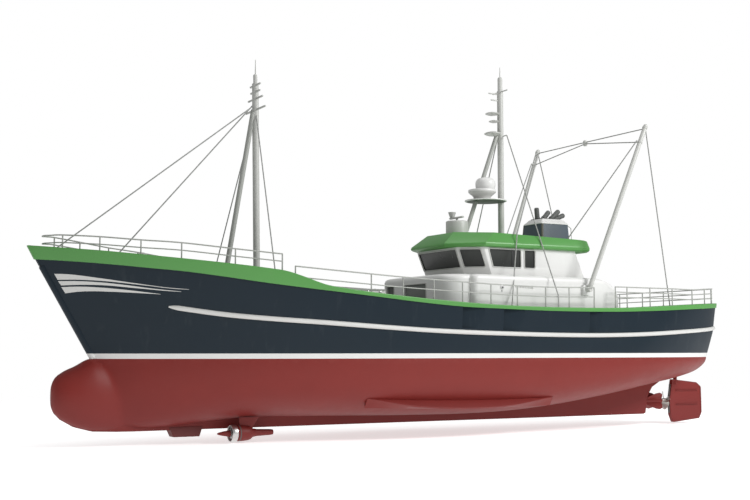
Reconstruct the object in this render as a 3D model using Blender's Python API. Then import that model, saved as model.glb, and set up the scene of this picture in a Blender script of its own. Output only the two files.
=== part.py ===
"""Steel fishing trawler: raked bow with a bulb, deckhouse with a wheelhouse on it, two masts, a pair of booms.

Sizes in metres. +X runs to the bow, +Y to port, +Z up. The origin is amidships on the centreline,
at the lower edge of the white waterline stripe.
"""

from collections import namedtuple
from math import cos, hypot, pi, radians, sin, tan

import bmesh
import bpy
from mathutils import Matrix, Vector

# Clearance between solids that touch.
GAP = 0.0003

# Hull.
KEEL_Z = -3.23
STEM_FOOT_X = 15.99
STEM_RAKE = 0.582
STATIONS = 32
END_HALF_WIDTH = 0.10
SKEG_HALF_WIDTH = 0.25
STERN_END_X = -20.2
BAND_PROUD = 0.045
BAND_WIDTH = 0.30
DECK_RISE = 0.09

# Houses.
HOUSE_WALL = 0.12
HOUSE_WALL_TOP = 3.85
HOUSE_TOP = 4.15
DOOR_TOP = 3.70
DOOR_SILL = 0.16
DOOR_THICKNESS = 0.05
DOOR_GAP = 0.02
CABIN_WALL = 0.10
CABIN_TOP = 5.58
PANE_THICKNESS = 0.03

# Stern gear.
SHAFT_Z = -2.52
PROPELLER_X = -17.78
PROPELLER_RADIUS = 0.52
RUDDER_STOCK_X = -18.62
BOSS_FOOT_Z = -1.17

# Masts.
MAST_X = -6.28

# Booms, which lean aft as they stand.
BOOM_HEEL = Vector((-8.88, 4.07, 3.48))
BOOM_HEAD = Vector((-12.41, 4.67, 12.29))

# Height of the hull's top edge and of the green band's top edge, by position along the hull.
SHEER = ((-20.7, 2.91), (-19, 2.8), (-17.2, 2.70), (-15.4, 2.61), (-13.9, 2.53), (-11, 2.42), (-8.25, 2.38),
         (-5.7, 2.39), (-3.2, 2.44), (-0.87, 2.50), (1.4, 2.65), (3.55, 2.84), (5.6, 3.02), (7.6, 3.20),
         (9.4, 3.39), (11.2, 3.62), (12.8, 3.82), (14.4, 3.97), (16, 4.13), (17.5, 4.26), (18.9, 4.36))
BAND_TOP = ((-20.7, 3.13), (-19, 3.02), (-17.2, 2.92), (-15.4, 2.83), (-13.9, 2.74), (-11, 2.60), (-8, 2.55),
            (-4.5, 2.57), (-2, 2.64), (0.3, 2.76), (2.5, 2.91), (4.6, 3.09), (5.6, 3.20), (6.6, 3.34),
            (7.6, 3.65), (8.5, 3.90), (9.4, 4.01), (11.2, 4.19), (12.8, 4.34), (14.4, 4.49), (16, 4.65),
            (17.5, 4.78), (18.9, 4.91))
# Lower outline of the hull by position: counter, skeg and keel.
OUTLINE = ((-20.25, -0.04), (-20.0, -0.32), (-19.75, -0.55), (-19.4, -0.75), (-18.9, -0.95), (-18.5, -1.1),
           (-18.1, -1.2), (-17.27, -1.38), (-16.6, -1.73), (-16.21, -2.29), (-16.07, -3.23), (14.0, -3.23),
           (14.9, -3.22), (15.9, -3.18), (16.7, -2.97), (17.3, -2.63), (17.6, -2.33), (17.75, -1.93))
# Depth of the body's bottom by position, above the keel and the skeg.
BOTTOM = ((-20.25, 0.0), (-20.0, -0.29), (-19.75, -0.51), (-19.4, -0.71), (-18.9, -0.91), (-18.5, -1.05), (-17.9, -1.17),
          (-16.8, -1.36), (-15.1, -1.6), (-14.2, -1.75), (-11.3, -2.2), (-8.45, -2.56), (-5.9, -2.78), (-3.8, -2.86),
          (0.8, -2.85), (3.7, -2.80), (5.8, -2.77), (8.6, -2.75), (10.5, -2.88), (12.5, -3.08), (14.0, -3.1),
          (14.8, -2.9), (15.3, -2.5), (15.7, -1.8), (15.95, -0.8), (16.05, 0.0))
# Position, top, bottom and half-width of the bulb.
BULB = ((13.6, -1.2, -2.7, 0.0), (14.2, -0.65, -3.1, 0.3), (15.0, -0.3, -3.2, 0.62), (15.6, -0.12, -3.18, 0.76),
        (15.99, 0.0, -3.14, 0.8), (16.7, -0.33, -2.94, 0.78), (17.3, -0.62, -2.6, 0.6), (17.6, -0.9, -2.3, 0.36),
        (17.75, -1.3, -1.9, 0.02))
STERN = ((0, -20.2), (0.15, -20.25), (0.9, -20.45), (1.5, -20.6), (3.2, -20.6))
SECTIONS = (-20.19, -20.08, -19.9, -19.65, -19.2, -18.6, -18.0, -17.3, -16.8, -16.45, -16.2, -16.08, -15, -13.5, -12,
            -10, -8, -6, -3.5, 0, 3.5, 6.5, 8.6, 10.5, 12, 13, 13.8, 14.5, 15.0, 15.4, 15.75, 15.985, 16.4, 16.9,
            17.3, 17.55, 17.7)

SHARES = (0.0, 0.2, 0.4, 0.6, 0.8, 1.0)

Waterline = namedtuple("Waterline", "beam bow bow_run bow_power bow_shape stern stern_run stern_power stern_shape")
DECK_LINE = Waterline(4.4, 18.50, 14, 2.2, 0.9, -20.6, 6.5, 2, 0.5)
WATER_LINE = Waterline(4.2, STEM_FOOT_X, 15, 2.4, 0.95, -20.2, 9, 2, 0.5)


def straight(table, x):
    """The value at x of a table of (x, value) pairs, straight between them."""
    if x <= table[0][0]:
        return table[0][1]
    for (x0, y0), (x1, y1) in zip(table, table[1:]):
        if x <= x1:
            return y0 + (y1 - y0) * (x - x0) / (x1 - x0)
    return table[-1][1]


def eased(table, x):
    """The value at x of a table of (x, value) pairs, on a smooth curve through them."""
    x = min(max(x, table[0][0]), table[-1][0])
    slopes = [(b[1] - a[1]) / (b[0] - a[0]) for a, b in zip(table, table[1:])]
    for i, (a, b) in enumerate(zip(table, table[1:])):
        if x <= b[0]:
            width = b[0] - a[0]
            start = (slopes[max(i - 1, 0)] + slopes[i]) / 2
            end = (slopes[i] + slopes[min(i + 1, len(slopes) - 1)]) / 2
            u = (x - a[0]) / width
            rise = a[1] * (2 * u**3 - 3 * u**2 + 1) + b[1] * (3 * u**2 - 2 * u**3)
            return rise + width * (start * (u**3 - 2 * u**2 + u) + end * (u**3 - u**2))
    return table[-1][1]


def sheer(x):
    return eased(SHEER, x)


def band_top(x):
    return eased(BAND_TOP, x)


# Scene and materials.


def clear_scene():
    for obj in list(bpy.data.objects):
        bpy.data.objects.remove(obj, do_unlink=True)


def new_collection(name):
    collection = bpy.data.collections.new(name)
    bpy.context.scene.collection.children.link(collection)
    return collection


def material(name, colour, roughness=0.45, metallic=0.0):
    found = bpy.data.materials.get(name)
    if found:
        return found
    made = bpy.data.materials.new(name)
    made.use_nodes = True
    shader = made.node_tree.nodes["Principled BSDF"]
    shader.inputs["Base Color"].default_value = (*colour, 1)
    shader.inputs["Roughness"].default_value = roughness
    shader.inputs["Metallic"].default_value = metallic
    made.diffuse_color = (*colour, 1)
    return made


def navy():
    return material("navy_paint", (0.03, 0.05, 0.075), 0.4)


def red():
    return material("red_antifouling", (0.17, 0.03, 0.025), 0.55)


def green():
    return material("green_paint", (0.16, 0.42, 0.12), 0.45)


def white():
    return material("white_paint", (0.76, 0.76, 0.74), 0.4)


def grey():
    return material("grey_paint", (0.42, 0.43, 0.40), 0.45)


def steel():
    return material("bare_steel", (0.55, 0.55, 0.54), 0.35, 1.0)


def dark():
    return material("dark_metal", (0.12, 0.125, 0.12), 0.5, 0.6)


def glass():
    return material("dark_glass", (0.03, 0.035, 0.04), 0.1)


def deck_paint():
    return material("deck_paint", (0.17, 0.24, 0.17), 0.7)


# Shapes.


def add_object(name, mesh, paint=None):
    """An object in the trawler's collection, or in the helpers' one when it has no paint."""
    obj = bpy.data.objects.new(name, mesh)
    if paint is None:
        HELPERS.objects.link(obj)
        hide(obj)
    else:
        mesh.materials.append(paint)
        TRAWLER.objects.link(obj)
    return obj


def hide(obj):
    obj.hide_render = True
    obj.display_type = "WIRE"


def add_shape(name, shape, paint=None, smooth=False):
    bmesh.ops.recalc_face_normals(shape, faces=shape.faces)
    mesh = bpy.data.meshes.new(name)
    shape.to_mesh(mesh)
    shape.free()
    if smooth:
        mesh.shade_smooth()
        mesh.set_sharp_from_angle(angle=radians(35))
    return add_object(name, mesh, paint)


def combine(target, other, operation="DIFFERENCE"):
    modifier = target.modifiers.new(operation.title(), "BOOLEAN")
    modifier.operation = operation
    modifier.solver = "EXACT"
    modifier.object = other
    return target


def join(target, *others):
    for other in others:
        combine(target, other, "UNION")
    return target


def loft(loops, strips=False, ring=False):
    """A skin over closed loops of points, its two ends filled, or joined end to end as a ring.

    With strips, each loop runs up the starboard side and back down the port side, and an end is filled
    by strips across the middle.
    """
    shape = bmesh.new()
    rows = [[shape.verts.new(point) for point in loop] for loop in loops]
    count = len(rows[0])
    pairs = list(zip(rows, rows[1:]))
    if ring:
        pairs.append((rows[-1], rows[0]))
    for low, high in pairs:
        for i in range(count):
            j = (i + 1) % count
            shape.faces.new((low[i], low[j], high[j], high[i]))
    for row in () if ring else (rows[0], rows[-1]):
        if strips:
            for i in range(count // 2 - 1):
                shape.faces.new((row[i], row[i + 1], row[-2 - i], row[-1 - i]))
        else:
            shape.faces.new(row)
    bmesh.ops.triangulate(shape, faces=shape.faces)
    return shape


def both_sides(points):
    """Port points with their starboard mirror images, as one loop."""
    return [Vector((p[0], -p[1], p[2])) for p in points] + [Vector(p) for p in reversed(points)]


def block(name, low, high, paint=None):
    """A box between two corners."""
    low = Vector(low)
    high = Vector(high)
    shape = bmesh.new()
    middle = Matrix.Translation((low + high) / 2)
    bmesh.ops.create_cube(shape, size=1, matrix=middle @ Matrix.Diagonal((*(high - low), 1)))
    return add_shape(name, shape, paint)


def rod(name, start, end, radius, end_radius=None, paint=None, sides=12):
    """A round bar or cone from start to end."""
    start = Vector(start)
    end = Vector(end)
    run = end - start
    turn = run.to_track_quat("Z", "Y").to_matrix().to_4x4()
    shape = bmesh.new()
    bmesh.ops.create_cone(
        shape,
        cap_ends=True,
        segments=sides,
        radius1=radius,
        radius2=radius if end_radius is None else end_radius,
        depth=run.length,
        matrix=Matrix.Translation((start + end) / 2) @ turn,
    )
    return add_shape(name, shape, paint, smooth=True)


def turned(name, profile, centre, paint=None, sides=24):
    """A solid of revolution about an upright axis: profile is (radius, height) pairs from the top down."""
    shape = bmesh.new()
    rows = []
    for radius, height in profile:
        row = []
        for i in range(sides):
            angle = 2 * pi * i / sides
            row.append(Vector((radius * cos(angle), radius * sin(angle), height)) + Vector(centre))
        rows.append(row)
    shape.free()
    return add_shape(name, loft(rows), paint, smooth=True)


def pipe(name, points, radius, paint=None, resolution=1):
    """A pipe or wire along points, as a closed mesh."""
    curve = bpy.data.curves.new(name, "CURVE")
    curve.dimensions = "3D"
    curve.bevel_depth = radius
    curve.bevel_resolution = resolution
    curve.use_fill_caps = True
    spline = curve.splines.new("POLY")
    spline.points.add(len(points) - 1)
    for target, point in zip(spline.points, points):
        target.co = (*point, 1)
    guide = bpy.data.objects.new(name, curve)
    HELPERS.objects.link(guide)
    return welded(name, guide, paint)


def welded(name, guide, paint):
    """The mesh of a curve object, its caps welded on, in place of the curve."""
    graph = bpy.context.evaluated_depsgraph_get()
    graph.update()
    mesh = bpy.data.meshes.new_from_object(guide.evaluated_get(graph))
    matrix = guide.matrix_world.copy()
    bpy.data.objects.remove(guide, do_unlink=True)
    shape = bmesh.new()
    shape.from_mesh(mesh)
    bmesh.ops.remove_doubles(shape, verts=shape.verts, dist=0.00001)
    bpy.data.meshes.remove(mesh)
    obj = add_shape(name, shape, paint, smooth=True)
    obj.matrix_world = matrix
    return obj


def grown(obj, amount=0.0005):
    """A copy of a plain mesh, its surface moved out by amount, to cut a neighbour clear of it."""
    shape = bmesh.new()
    shape.from_mesh(obj.data)
    shape.normal_update()
    moves = [(vertex, vertex.normal * amount) for vertex in shape.verts]
    for vertex, move in moves:
        vertex.co += move
    copy = add_shape(obj.name + "_clearance", shape)
    copy.matrix_world = obj.matrix_world
    return copy


def mirrored(points):
    return [(x, -y, z) for x, y, z in points]


def rounded(corners, steps=4):
    """A closed outline from (x, y, radius) corners, each corner turned into an arc."""
    outline = []
    count = len(corners)
    for i, (x, y, radius) in enumerate(corners):
        here = Vector((x, y))
        before = (Vector(corners[i - 1][:2]) - here).normalized()
        after = (Vector(corners[(i + 1) % count][:2]) - here).normalized()
        if radius <= 0:
            outline.append(here)
            continue
        half = before.angle(after) / 2
        reach = radius / tan(half)
        centre = here + (before + after).normalized() * (radius / sin(half))
        first = here + before * reach - centre
        last = here + after * reach - centre
        sweep = first.angle_signed(last)
        for step in range(steps + 1):
            outline.append(centre + turned_by(first, -sweep * step / steps))
    return outline


def turned_by(arm, angle):
    return Vector((arm.x * cos(angle) - arm.y * sin(angle), arm.x * sin(angle) + arm.y * cos(angle)))


def inset(outline, distance):
    """The outline moved inwards by distance. It runs anticlockwise."""
    moved = []
    count = len(outline)
    for i, point in enumerate(outline):
        before = (point - outline[i - 1]).normalized()
        after = (outline[(i + 1) % count] - point).normalized()
        normal = Vector((-before.y - after.y, before.x + after.x)).normalized()
        lean = max(normal.dot(Vector((-before.y, before.x))), 0.3)
        moved.append(point + normal * (distance / lean))
    return moved


def at_height(outline, z):
    return [Vector((p.x, p.y, z)) for p in outline]


# Hull.


def half_breadth(line, x):
    breadth = line.beam
    to_bow = (line.bow - x) / line.bow_run
    to_stern = (x - line.stern) / line.stern_run
    if to_bow < 1:
        breadth *= (1 - (1 - max(to_bow, 0)) ** line.bow_power) ** line.bow_shape
    if to_stern < 1:
        breadth *= (1 - (1 - max(to_stern, 0)) ** line.stern_power) ** line.stern_shape
    return hypot(breadth, END_HALF_WIDTH)


def stations(stern, bow, count=STATIONS):
    """Positions along the hull, closer together towards its ends."""
    return [stern + (bow - stern) * (1 - cos(pi * i / (count - 1))) / 2 for i in range(count)]


def topside_line(share):
    """The plan of the hull at a share of the height from the waterline to the sheer."""
    mixed = [a + (b - a) * share for a, b in zip(WATER_LINE, DECK_LINE)]
    line = Waterline(*mixed)
    bow = line.bow
    for _ in range(6):
        bow = STEM_FOOT_X + STEM_RAKE * share * sheer(bow)
    stern = straight(STERN, share * sheer(-20.6))
    return line._replace(bow=bow, stern=stern)


def topside_loop(share, outward=0.0, height=None):
    line = topside_line(share)
    line = line._replace(beam=line.beam + outward, bow=line.bow + outward, stern=line.stern - outward)
    points = []
    for x in stations(line.stern, line.bow):
        z = share * sheer(x) if height is None else height(x)
        points.append((x, half_breadth(line, x), z))
    return both_sides(points)


def body_breadth(x, z):
    """Half the breadth of the underwater body at a place, without keel, skeg and bulb."""
    bottom = eased(BOTTOM, x)
    if z <= bottom or x >= STEM_FOOT_X:
        return 0.0
    power = 2.6 - 0.7 * min(max((x - 1) / 11, 0), 1) - 0.5 * min(max((-8 - x) / 10, 0), 1)
    return half_breadth(WATER_LINE, x) * (1 - (z / bottom) ** power) ** (1 / power)


def bulb_part(x, column):
    return eased([(row[0], row[column]) for row in BULB], x)


def bulb_breadth(x, z):
    if not BULB[0][0] < x < BULB[-1][0]:
        return 0.0
    top = bulb_part(x, 1)
    bottom = bulb_part(x, 2)
    away = 2 * (z - bottom) / (top - bottom) - 1
    return max(bulb_part(x, 3), 0) * max(1 - away * away, 0) ** 0.5


def keel_breadth(x):
    """Half the breadth of the keel, which thins out at the skeg's end and in the bulb."""
    aft = min((x - STERN_END_X) / 4, 1)
    fore = min(max((17.8 - x) / 3.5, 0.05), 1)
    return END_HALF_WIDTH + (SKEG_HALF_WIDTH - END_HALF_WIDTH) * aft if fore == 1 else SKEG_HALF_WIDTH * fore


def underwater_section(x, count=12):
    """Port points of the hull's section at x, from the waterline or the bulb's top down to the keel."""
    keel = keel_breadth(x)
    low = straight(OUTLINE, x)
    top = -GAP
    foot = eased(BOTTOM, x)
    if x > STEM_FOOT_X:
        top = bulb_part(x, 1)
        foot = top
    if x > 14:
        foot = min(foot, bulb_part(x, 2))
    foot = max(foot, low + 0.02)
    points = []
    for i in range(count):
        z = top + (foot - top) * sin(pi / 2 * i / (count - 1))
        both = (body_breadth(x, z) ** 8 + bulb_breadth(x, z) ** 8) ** (1 / 8)
        points.append((x, max(both, keel), z))
    points.append((x, keel, low))
    return points


def make_hull():
    sections = [both_sides(underwater_section(x)) for x in SECTIONS]
    hull = add_shape("hull_bottom", loft(sections, strips=True), red(), smooth=True)
    plain = grown(hull)
    boss = rod("rudder_boss", (RUDDER_STOCK_X, 0, -0.6), (RUDDER_STOCK_X, 0, BOSS_FOOT_Z), 0.19, 0.16, sides=16)
    join(hull, boss)
    topsides = add_shape("topsides", loft([topside_loop(s) for s in SHARES], strips=True), navy(), smooth=True)
    clear = grown(topsides)
    for side in (1, -1):
        for aft, fore, low in ((-2.08, -0.82, 1.45), (-4.49, -3.24, 1.38), (-9.47, -8.66, 1.33)):
            plan = [Vector((x, side * y)) for x, y in ((fore, 4.16), (fore, 5), (aft, 5), (aft, 4.38))]
            combine(topsides, add_shape("pocket", loft([at_height(plan, low), at_height(plan, 3.2)])))
    return plain, clear


def make_band(topsides_clear):
    """The green bulwark band, a ring on the hull's top edge that overhangs it a little."""
    low = topside_loop(1.0, BAND_PROUD, lambda x: sheer(x) - 0.03)
    flare = 1.0 + 0.13
    high = []
    for point, flared in zip(low, topside_loop(flare, BAND_PROUD, band_top)):
        z = band_top(flared.x)
        part = (z - sheer(flared.x)) / (0.13 * sheer(flared.x))
        mixed = point.lerp(flared, part)
        high.append(Vector((mixed.x, mixed.y, band_top(mixed.x))))
    inner = topside_inner(0.0)
    inner_low = [Vector((p.x, p.y, sheer(p.x) - 0.03)) for p in inner]
    inner_high = [Vector((p.x, p.y, band_top(p.x))) for p in inner]
    band = add_shape("bulwark_band", loft([low, high, inner_high, inner_low], ring=True), green(), smooth=True)
    combine(band, topsides_clear)
    return band


def topside_inner(extra):
    """The plan of the band's inner face, moved in by extra."""
    inward = BAND_WIDTH + extra
    line = DECK_LINE._replace(
        beam=DECK_LINE.beam - inward,
        bow=DECK_LINE.bow - 0.9 - extra,
        stern=DECK_LINE.stern + inward,
    )
    points = []
    for x in stations(line.stern, line.bow):
        points.append((x, half_breadth(line, x) - extra, 0.0))
    return both_sides(points)


def make_deck(topsides_clear):
    plan = topside_inner(0.001)
    low = [Vector((p.x, p.y, sheer(p.x) - 0.03)) for p in plan]
    high = [Vector((p.x, p.y, sheer(p.x) + DECK_RISE)) for p in plan]
    deck = add_shape("deck", loft([low, high], strips=True), deck_paint())
    combine(deck, topsides_clear)
    below = [Vector((p.x, p.y, sheer(p.x) - 1.2)) for p in plan]
    return grown(add_shape("deck_space", loft([below, high], strips=True)))


def on_topsides(station, height):
    """The point of the hull's side at a station where it reaches the height given for its position."""
    rows = [topside_loop(share)[station] for share in SHARES]
    for low, high in zip(rows, rows[1:]):
        target = straight(height, low.x)
        if low.z <= target <= high.z:
            return low.lerp(high, (target - low.z) / (high.z - low.z))
    return rows[0]


def strake_points(side):
    height = ((-20.4, 1.72), (-18.5, 1.57), (-15.5, 1.39), (-12.5, 1.23), (-10, 1.16), (-7.0, 1.15), (-3.3, 1.20),
              (0.2, 1.29), (3.5, 1.45), (6.5, 1.63), (9.3, 1.80), (11.1, 1.96), (13.3, 2.27), (18, 2.9))
    points = []
    for station in range(STATIONS):
        point = on_topsides(station, height)
        if -20.45 < point.x < 13.6:
            points.append((point.x, -side * point.y, point.z))
    return points


def make_strakes(topsides_clear):
    """A half-round rubbing strake on each side, its back cut to the hull."""
    for side, name in ((1, "rubbing_strake_port"), (-1, "rubbing_strake_starboard")):
        strake = pipe(name, strake_points(side), 0.11, white(), resolution=2)
        combine(strake, topsides_clear)


def bilge_keel_section(x, z, inward, thick):
    """A triangular section of a bilge keel, rooted in the hull and reaching out and down."""
    y = body_breadth(x, z)
    return (
        Vector((x, y - 0.25, z + 0.12)),
        Vector((x, y + inward, z - inward)),
        Vector((x, y + inward - thick, z - inward - thick)),
        Vector((x, y - 0.25, z - 0.45)),
    )


def make_bilge_keels(hull):
    sections = ((3.9, -1.86, 0.02, 0.02), (1.2, -1.95, 0.32, 0.06), (-3.6, -2.02, 0.34, 0.06), (-7.0, -1.98, 0.02, 0.02))
    for side, name in ((1, "bilge_keel_port"), (-1, "bilge_keel_starboard")):
        loops = []
        for x, z, reach, thick in sections:
            loops.append([Vector((p.x, side * p.y, p.z)) for p in bilge_keel_section(x, z, reach, thick)])
        join(hull, add_shape(name, loft(loops)))


def make_stem_bar(topsides):
    """The rounded bar down the stem, from the band to the waterline."""
    foot = Vector((STEM_FOOT_X + STEM_RAKE * 0.05, 0, 0.05))
    head = Vector((STEM_FOOT_X + STEM_RAKE * 4.05, 0, 4.05))
    back = Vector((-0.17, 0, 0.05))
    join(topsides, rod("stem_bar", foot + back, head + back, 0.20, sides=16))


def make_keel_fittings(hull_clear):
    half = 0.28
    low = [Vector(p) for p in ((10.95, -half, -3.55), (12.2, -half, -3.55), (12.2, half, -3.55), (10.95, half, -3.55))]
    high = [Vector(p) for p in ((10.8, -half, -3.1), (12.42, -half, -3.1), (12.42, half, -3.1), (10.8, half, -3.1))]
    box = add_shape("transducer_box", loft([low, high]), dark())
    combine(box, hull_clear)


# Underwater gear.


def make_pod(hull_clear):
    """The thruster pod, to port of the keel, on a pylon."""
    y = 0.95
    axis_z = -3.42
    pod = rod("thruster_pod", (9.43, y, axis_z), (8.75, y, axis_z), 0.37, 0.30, paint=red(), sides=20)
    tail = rod("pod_tail", (8.9, y, axis_z), (7.6, y, axis_z), 0.16, 0.10)
    pylon_top = [(9.3, y - 0.09, -2.7), (8.3, y - 0.09, -2.7), (8.3, y + 0.09, -2.7), (9.3, y + 0.09, -2.7)]
    pylon_low = [(9.25, y - 0.07, -3.3), (8.65, y - 0.07, -3.3), (8.65, y + 0.07, -3.3), (9.25, y + 0.07, -3.3)]
    pylon = add_shape("pylon", loft([[Vector(p) for p in pylon_low], [Vector(p) for p in pylon_top]]))
    join(pod, tail, pylon)
    combine(pod, hull_clear)
    rotor = rod("thruster_rotor", (9.74, y, axis_z), (9.45, y, axis_z), 0.39, paint=steel(), sides=20)
    nose = rod("rotor_nose", (10.37, y, axis_z), (9.6, y, axis_z), 0.05, 0.15)
    join(rotor, nose, rod("rotor_shaft", (9.5, y, axis_z), (9.43 + GAP, y, axis_z), 0.10))
    hang(rotor, (9.6, y, axis_z))


def blade(name, centre, angle, length, chord, twist, thick=0.035):
    """A propeller blade: a rounded flat plate, wider towards its tip, set at a twist to the shaft."""
    outline = ((0.0, 0.45), (0.35, 0.85), (0.65, 1.0), (0.88, 0.8), (1.0, 0.3))
    loops = []
    for share, width in outline:
        half = chord * width / 2
        turn = twist * (1 - 0.45 * share)
        row = []
        for along, off in ((-1, -1), (1, -1), (1, 1), (-1, 1)):
            x = along * half * sin(turn) + off * thick / 2 * cos(turn)
            side = along * half * cos(turn) - off * thick / 2 * sin(turn)
            row.append(Vector((x, side, length * share)))
        loops.append(row)
    obj = add_shape(name, loft(loops))
    obj.matrix_world = Matrix.Translation(centre) @ Matrix.Rotation(angle, 4, "X")
    return obj


# Outline of a stern tube fin: position, distance from the shaft.
FIN = ((-17.42, 0.0), (-16.05, 0.0), (-16.15, 0.16), (-16.4, 0.40), (-16.72, 0.60), (-16.98, 0.66), (-17.22, 0.56),
       (-17.36, 0.34), (-17.42, 0.12))


def make_stern_gear(hull_clear):
    tube = rod("stern_tube", (-15.9, 0, SHAFT_Z), (-17.5, 0, SHAFT_Z), 0.16, 0.13, paint=red(), sides=16)
    for i in range(4):
        angle = radians(45 + 90 * i)
        fin = add_shape("fin", loft([[Vector((x, y, z)) for x, z in FIN] for y in (-0.025, 0.025)]))
        fin.matrix_world = Matrix.Translation((0, 0, SHAFT_Z)) @ Matrix.Rotation(angle, 4, "X")
        join(tube, fin)
    combine(tube, hull_clear)
    hub = rod("propeller", (-17.5 - GAP, 0, SHAFT_Z), (-18.0, 0, SHAFT_Z), 0.12, 0.08, paint=steel(), sides=16)
    hang(hub, (PROPELLER_X, 0, SHAFT_Z))
    for i in range(4):
        centre = Vector((PROPELLER_X + 0.02, 0, SHAFT_Z))
        join(hub, blade("blade", centre, radians(20 + 90 * i), PROPELLER_RADIUS, 0.42, radians(55)))
    make_rudder()


def make_rudder():
    """The rudder blade and its stock, turning in a boss under the counter."""
    outline = ((-18.31, -1.30), (-20.2, -1.50), (-20.55, -1.75), (-20.58, -3.24), (-20.38, -3.60), (-18.34, -3.78),
               (-18.13, -3.34), (-18.08, -2.50))
    loops = []
    for y, shrink in ((-0.05, 0.06), (-0.12, 0.0), (0.12, 0.0), (0.05, 0.06)):
        middle = Vector((-19.3, y, -2.5))
        loop = []
        for x, z in outline:
            point = Vector((x, y, z))
            loop.append(point + (middle - point) * shrink)
        loops.append([Vector((p.x, y, p.z)) for p in loop])
    rudder = add_shape("rudder", loft(loops), red())
    stock = rod("rudder_stock", (RUDDER_STOCK_X, 0, -1.6), (RUDDER_STOCK_X, 0, BOSS_FOOT_Z - GAP), 0.11)
    join(rudder, stock)
    hang(rudder, (RUDDER_STOCK_X, 0, 0))


# Deckhouse and wheelhouse.

HOUSE_AFT_X = -11.39


def aft_shift(z):
    """How far the deckhouse's rounded after end lies forward of its foot at height z."""
    up = min(max((z - 3.0) / (HOUSE_TOP - 3.0), 0), 1)
    return 1.75 * (1 - (1 - up * up) ** 0.5)


def house_outline(z, inward=0.0):
    side = 3.75 - inward
    front = 3.42 - inward
    port = (
        (HOUSE_AFT_X + aft_shift(z), side, 0.5),
        (-1.9 - inward, side, 0.30),
        (-1.9 - inward, front, 0.0),
        (-0.55 - inward, front, 1.05),
    )
    corners = [(x, -y, r) for x, y, r in port]
    return rounded(corners + [(x, y, r) for x, y, r in reversed(port)])


def walls(name, loops, thickness, paint=None):
    """A ring of walls through outlines from the lowest to the highest, thickened inwards."""
    inner = [inset_3d(loop, thickness) for loop in reversed(loops)]
    return add_shape(name, loft([*loops, *inner], ring=True), paint)


def inset_3d(loop, distance):
    flat = inset([Vector((p.x, p.y)) for p in loop], distance)
    return [Vector((p.x, p.y, q.z)) for p, q in zip(flat, loop)]


def on_deck(outline, sunk=0.05):
    return [Vector((p.x, p.y, sheer(p.x) + DECK_RISE - sunk)) for p in outline]


def make_deckhouse(deck_clear):
    loops = [on_deck(house_outline(0))]
    for z in (3.0, 3.3, 3.6, HOUSE_WALL_TOP):
        loops.append(at_height(house_outline(z), z))
    house = walls("deckhouse_walls", loops, HOUSE_WALL, white())
    for name, low_y, high_y in (("deckhouse_front_door", -0.61, 1.47), ("deckhouse_front_hatch", -2.39, -1.66)):
        sill = sheer(-0.55) + DECK_RISE + DOOR_SILL
        combine(house, block("doorway", (-0.95, low_y, sill), (-0.15, high_y, DOOR_TOP)))
        leaf(name, (-0.645, low_y), (-0.645, high_y), sill)
    sill = sheer(-5.0) + DECK_RISE + DOOR_SILL
    combine(house, block("doorway", (-5.40, -4.1, sill), (-4.60, -3.4, DOOR_TOP)))
    leaf("deckhouse_side_door", (-5.40, -3.655), (-4.60, -3.655), sill)
    combine(house, deck_clear)
    make_deckhouse_roof()


def leaf(name, start, end, sill):
    """A door leaf across its doorway from start to end, turning on a pin near the end."""
    along = (Vector(end) - Vector(start)).normalized()
    across = Vector((-along.y, along.x)) * DOOR_THICKNESS / 2
    near = Vector(start) + along * DOOR_GAP
    far = Vector(end) - along * DOOR_GAP
    outline = [near - across, far - across, far + across, near + across]
    door = add_shape(name, loft([at_height(outline, sill + 0.01), at_height(outline, DOOR_TOP - 0.01)]), grey())
    pin = far - along * 0.02
    join(door, rod("door_pin", (*pin, sill + GAP), (*pin, DOOR_TOP - GAP), 0.015, sides=8))
    hang(door, (*pin, 0))


def make_deckhouse_roof():
    foot = HOUSE_WALL_TOP + GAP
    outside = ((foot, 0.0), (3.95, 0.0), (4.03, 0.03), (4.10, 0.10), (4.13, 0.20), (HOUSE_TOP, 0.34))
    skin = loft([at_height(house_outline(z, inward), z) for z, inward in outside])
    roof = add_shape("deckhouse_roof", skin, white(), smooth=True)
    inside = ((3.7, 0.12), (3.93, 0.12), (4.03, 0.2))
    hollow = [at_height(inset(house_outline(z), inward), z) for z, inward in inside]
    combine(roof, add_shape("roof_hollow", loft(hollow)))
    combine(roof, block("stairwell", (-8.6, -0.5, 3.9), (-7.2, 0.5, 4.3)))


CABIN_LOW = ((-2.67, 1.80), (-3.62, 2.85), (-9.60, 2.85))
CABIN_HIGH = ((-2.11, 1.88), (-3.13, 2.85), (-8.98, 2.85))


def ring_of(port_points, z):
    """An anticlockwise loop at height z from port points, front to back."""
    loop = [Vector((x, y, z)) for x, y in port_points]
    return loop + [Vector((p.x, -p.y, z)) for p in reversed(loop)]


def prism(name, corners, normal, depth, paint=None):
    """A flat four-sided slab: corners moved both ways along the normal by half the depth."""
    push = Vector(normal).normalized() * depth / 2
    near = [Vector(p) + push for p in corners]
    far = [Vector(p) - push for p in corners]
    return add_shape(name, loft([far, near]), paint)


def shrunk(corners, amount):
    """Corners moved towards their middle by amount each way."""
    moved = []
    count = len(corners)
    for i, point in enumerate(corners):
        to_next = (corners[(i + 1) % count] - point).normalized()
        to_last = (corners[i - 1] - point).normalized()
        moved.append(point + (to_next + to_last) * amount)
    return moved


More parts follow.
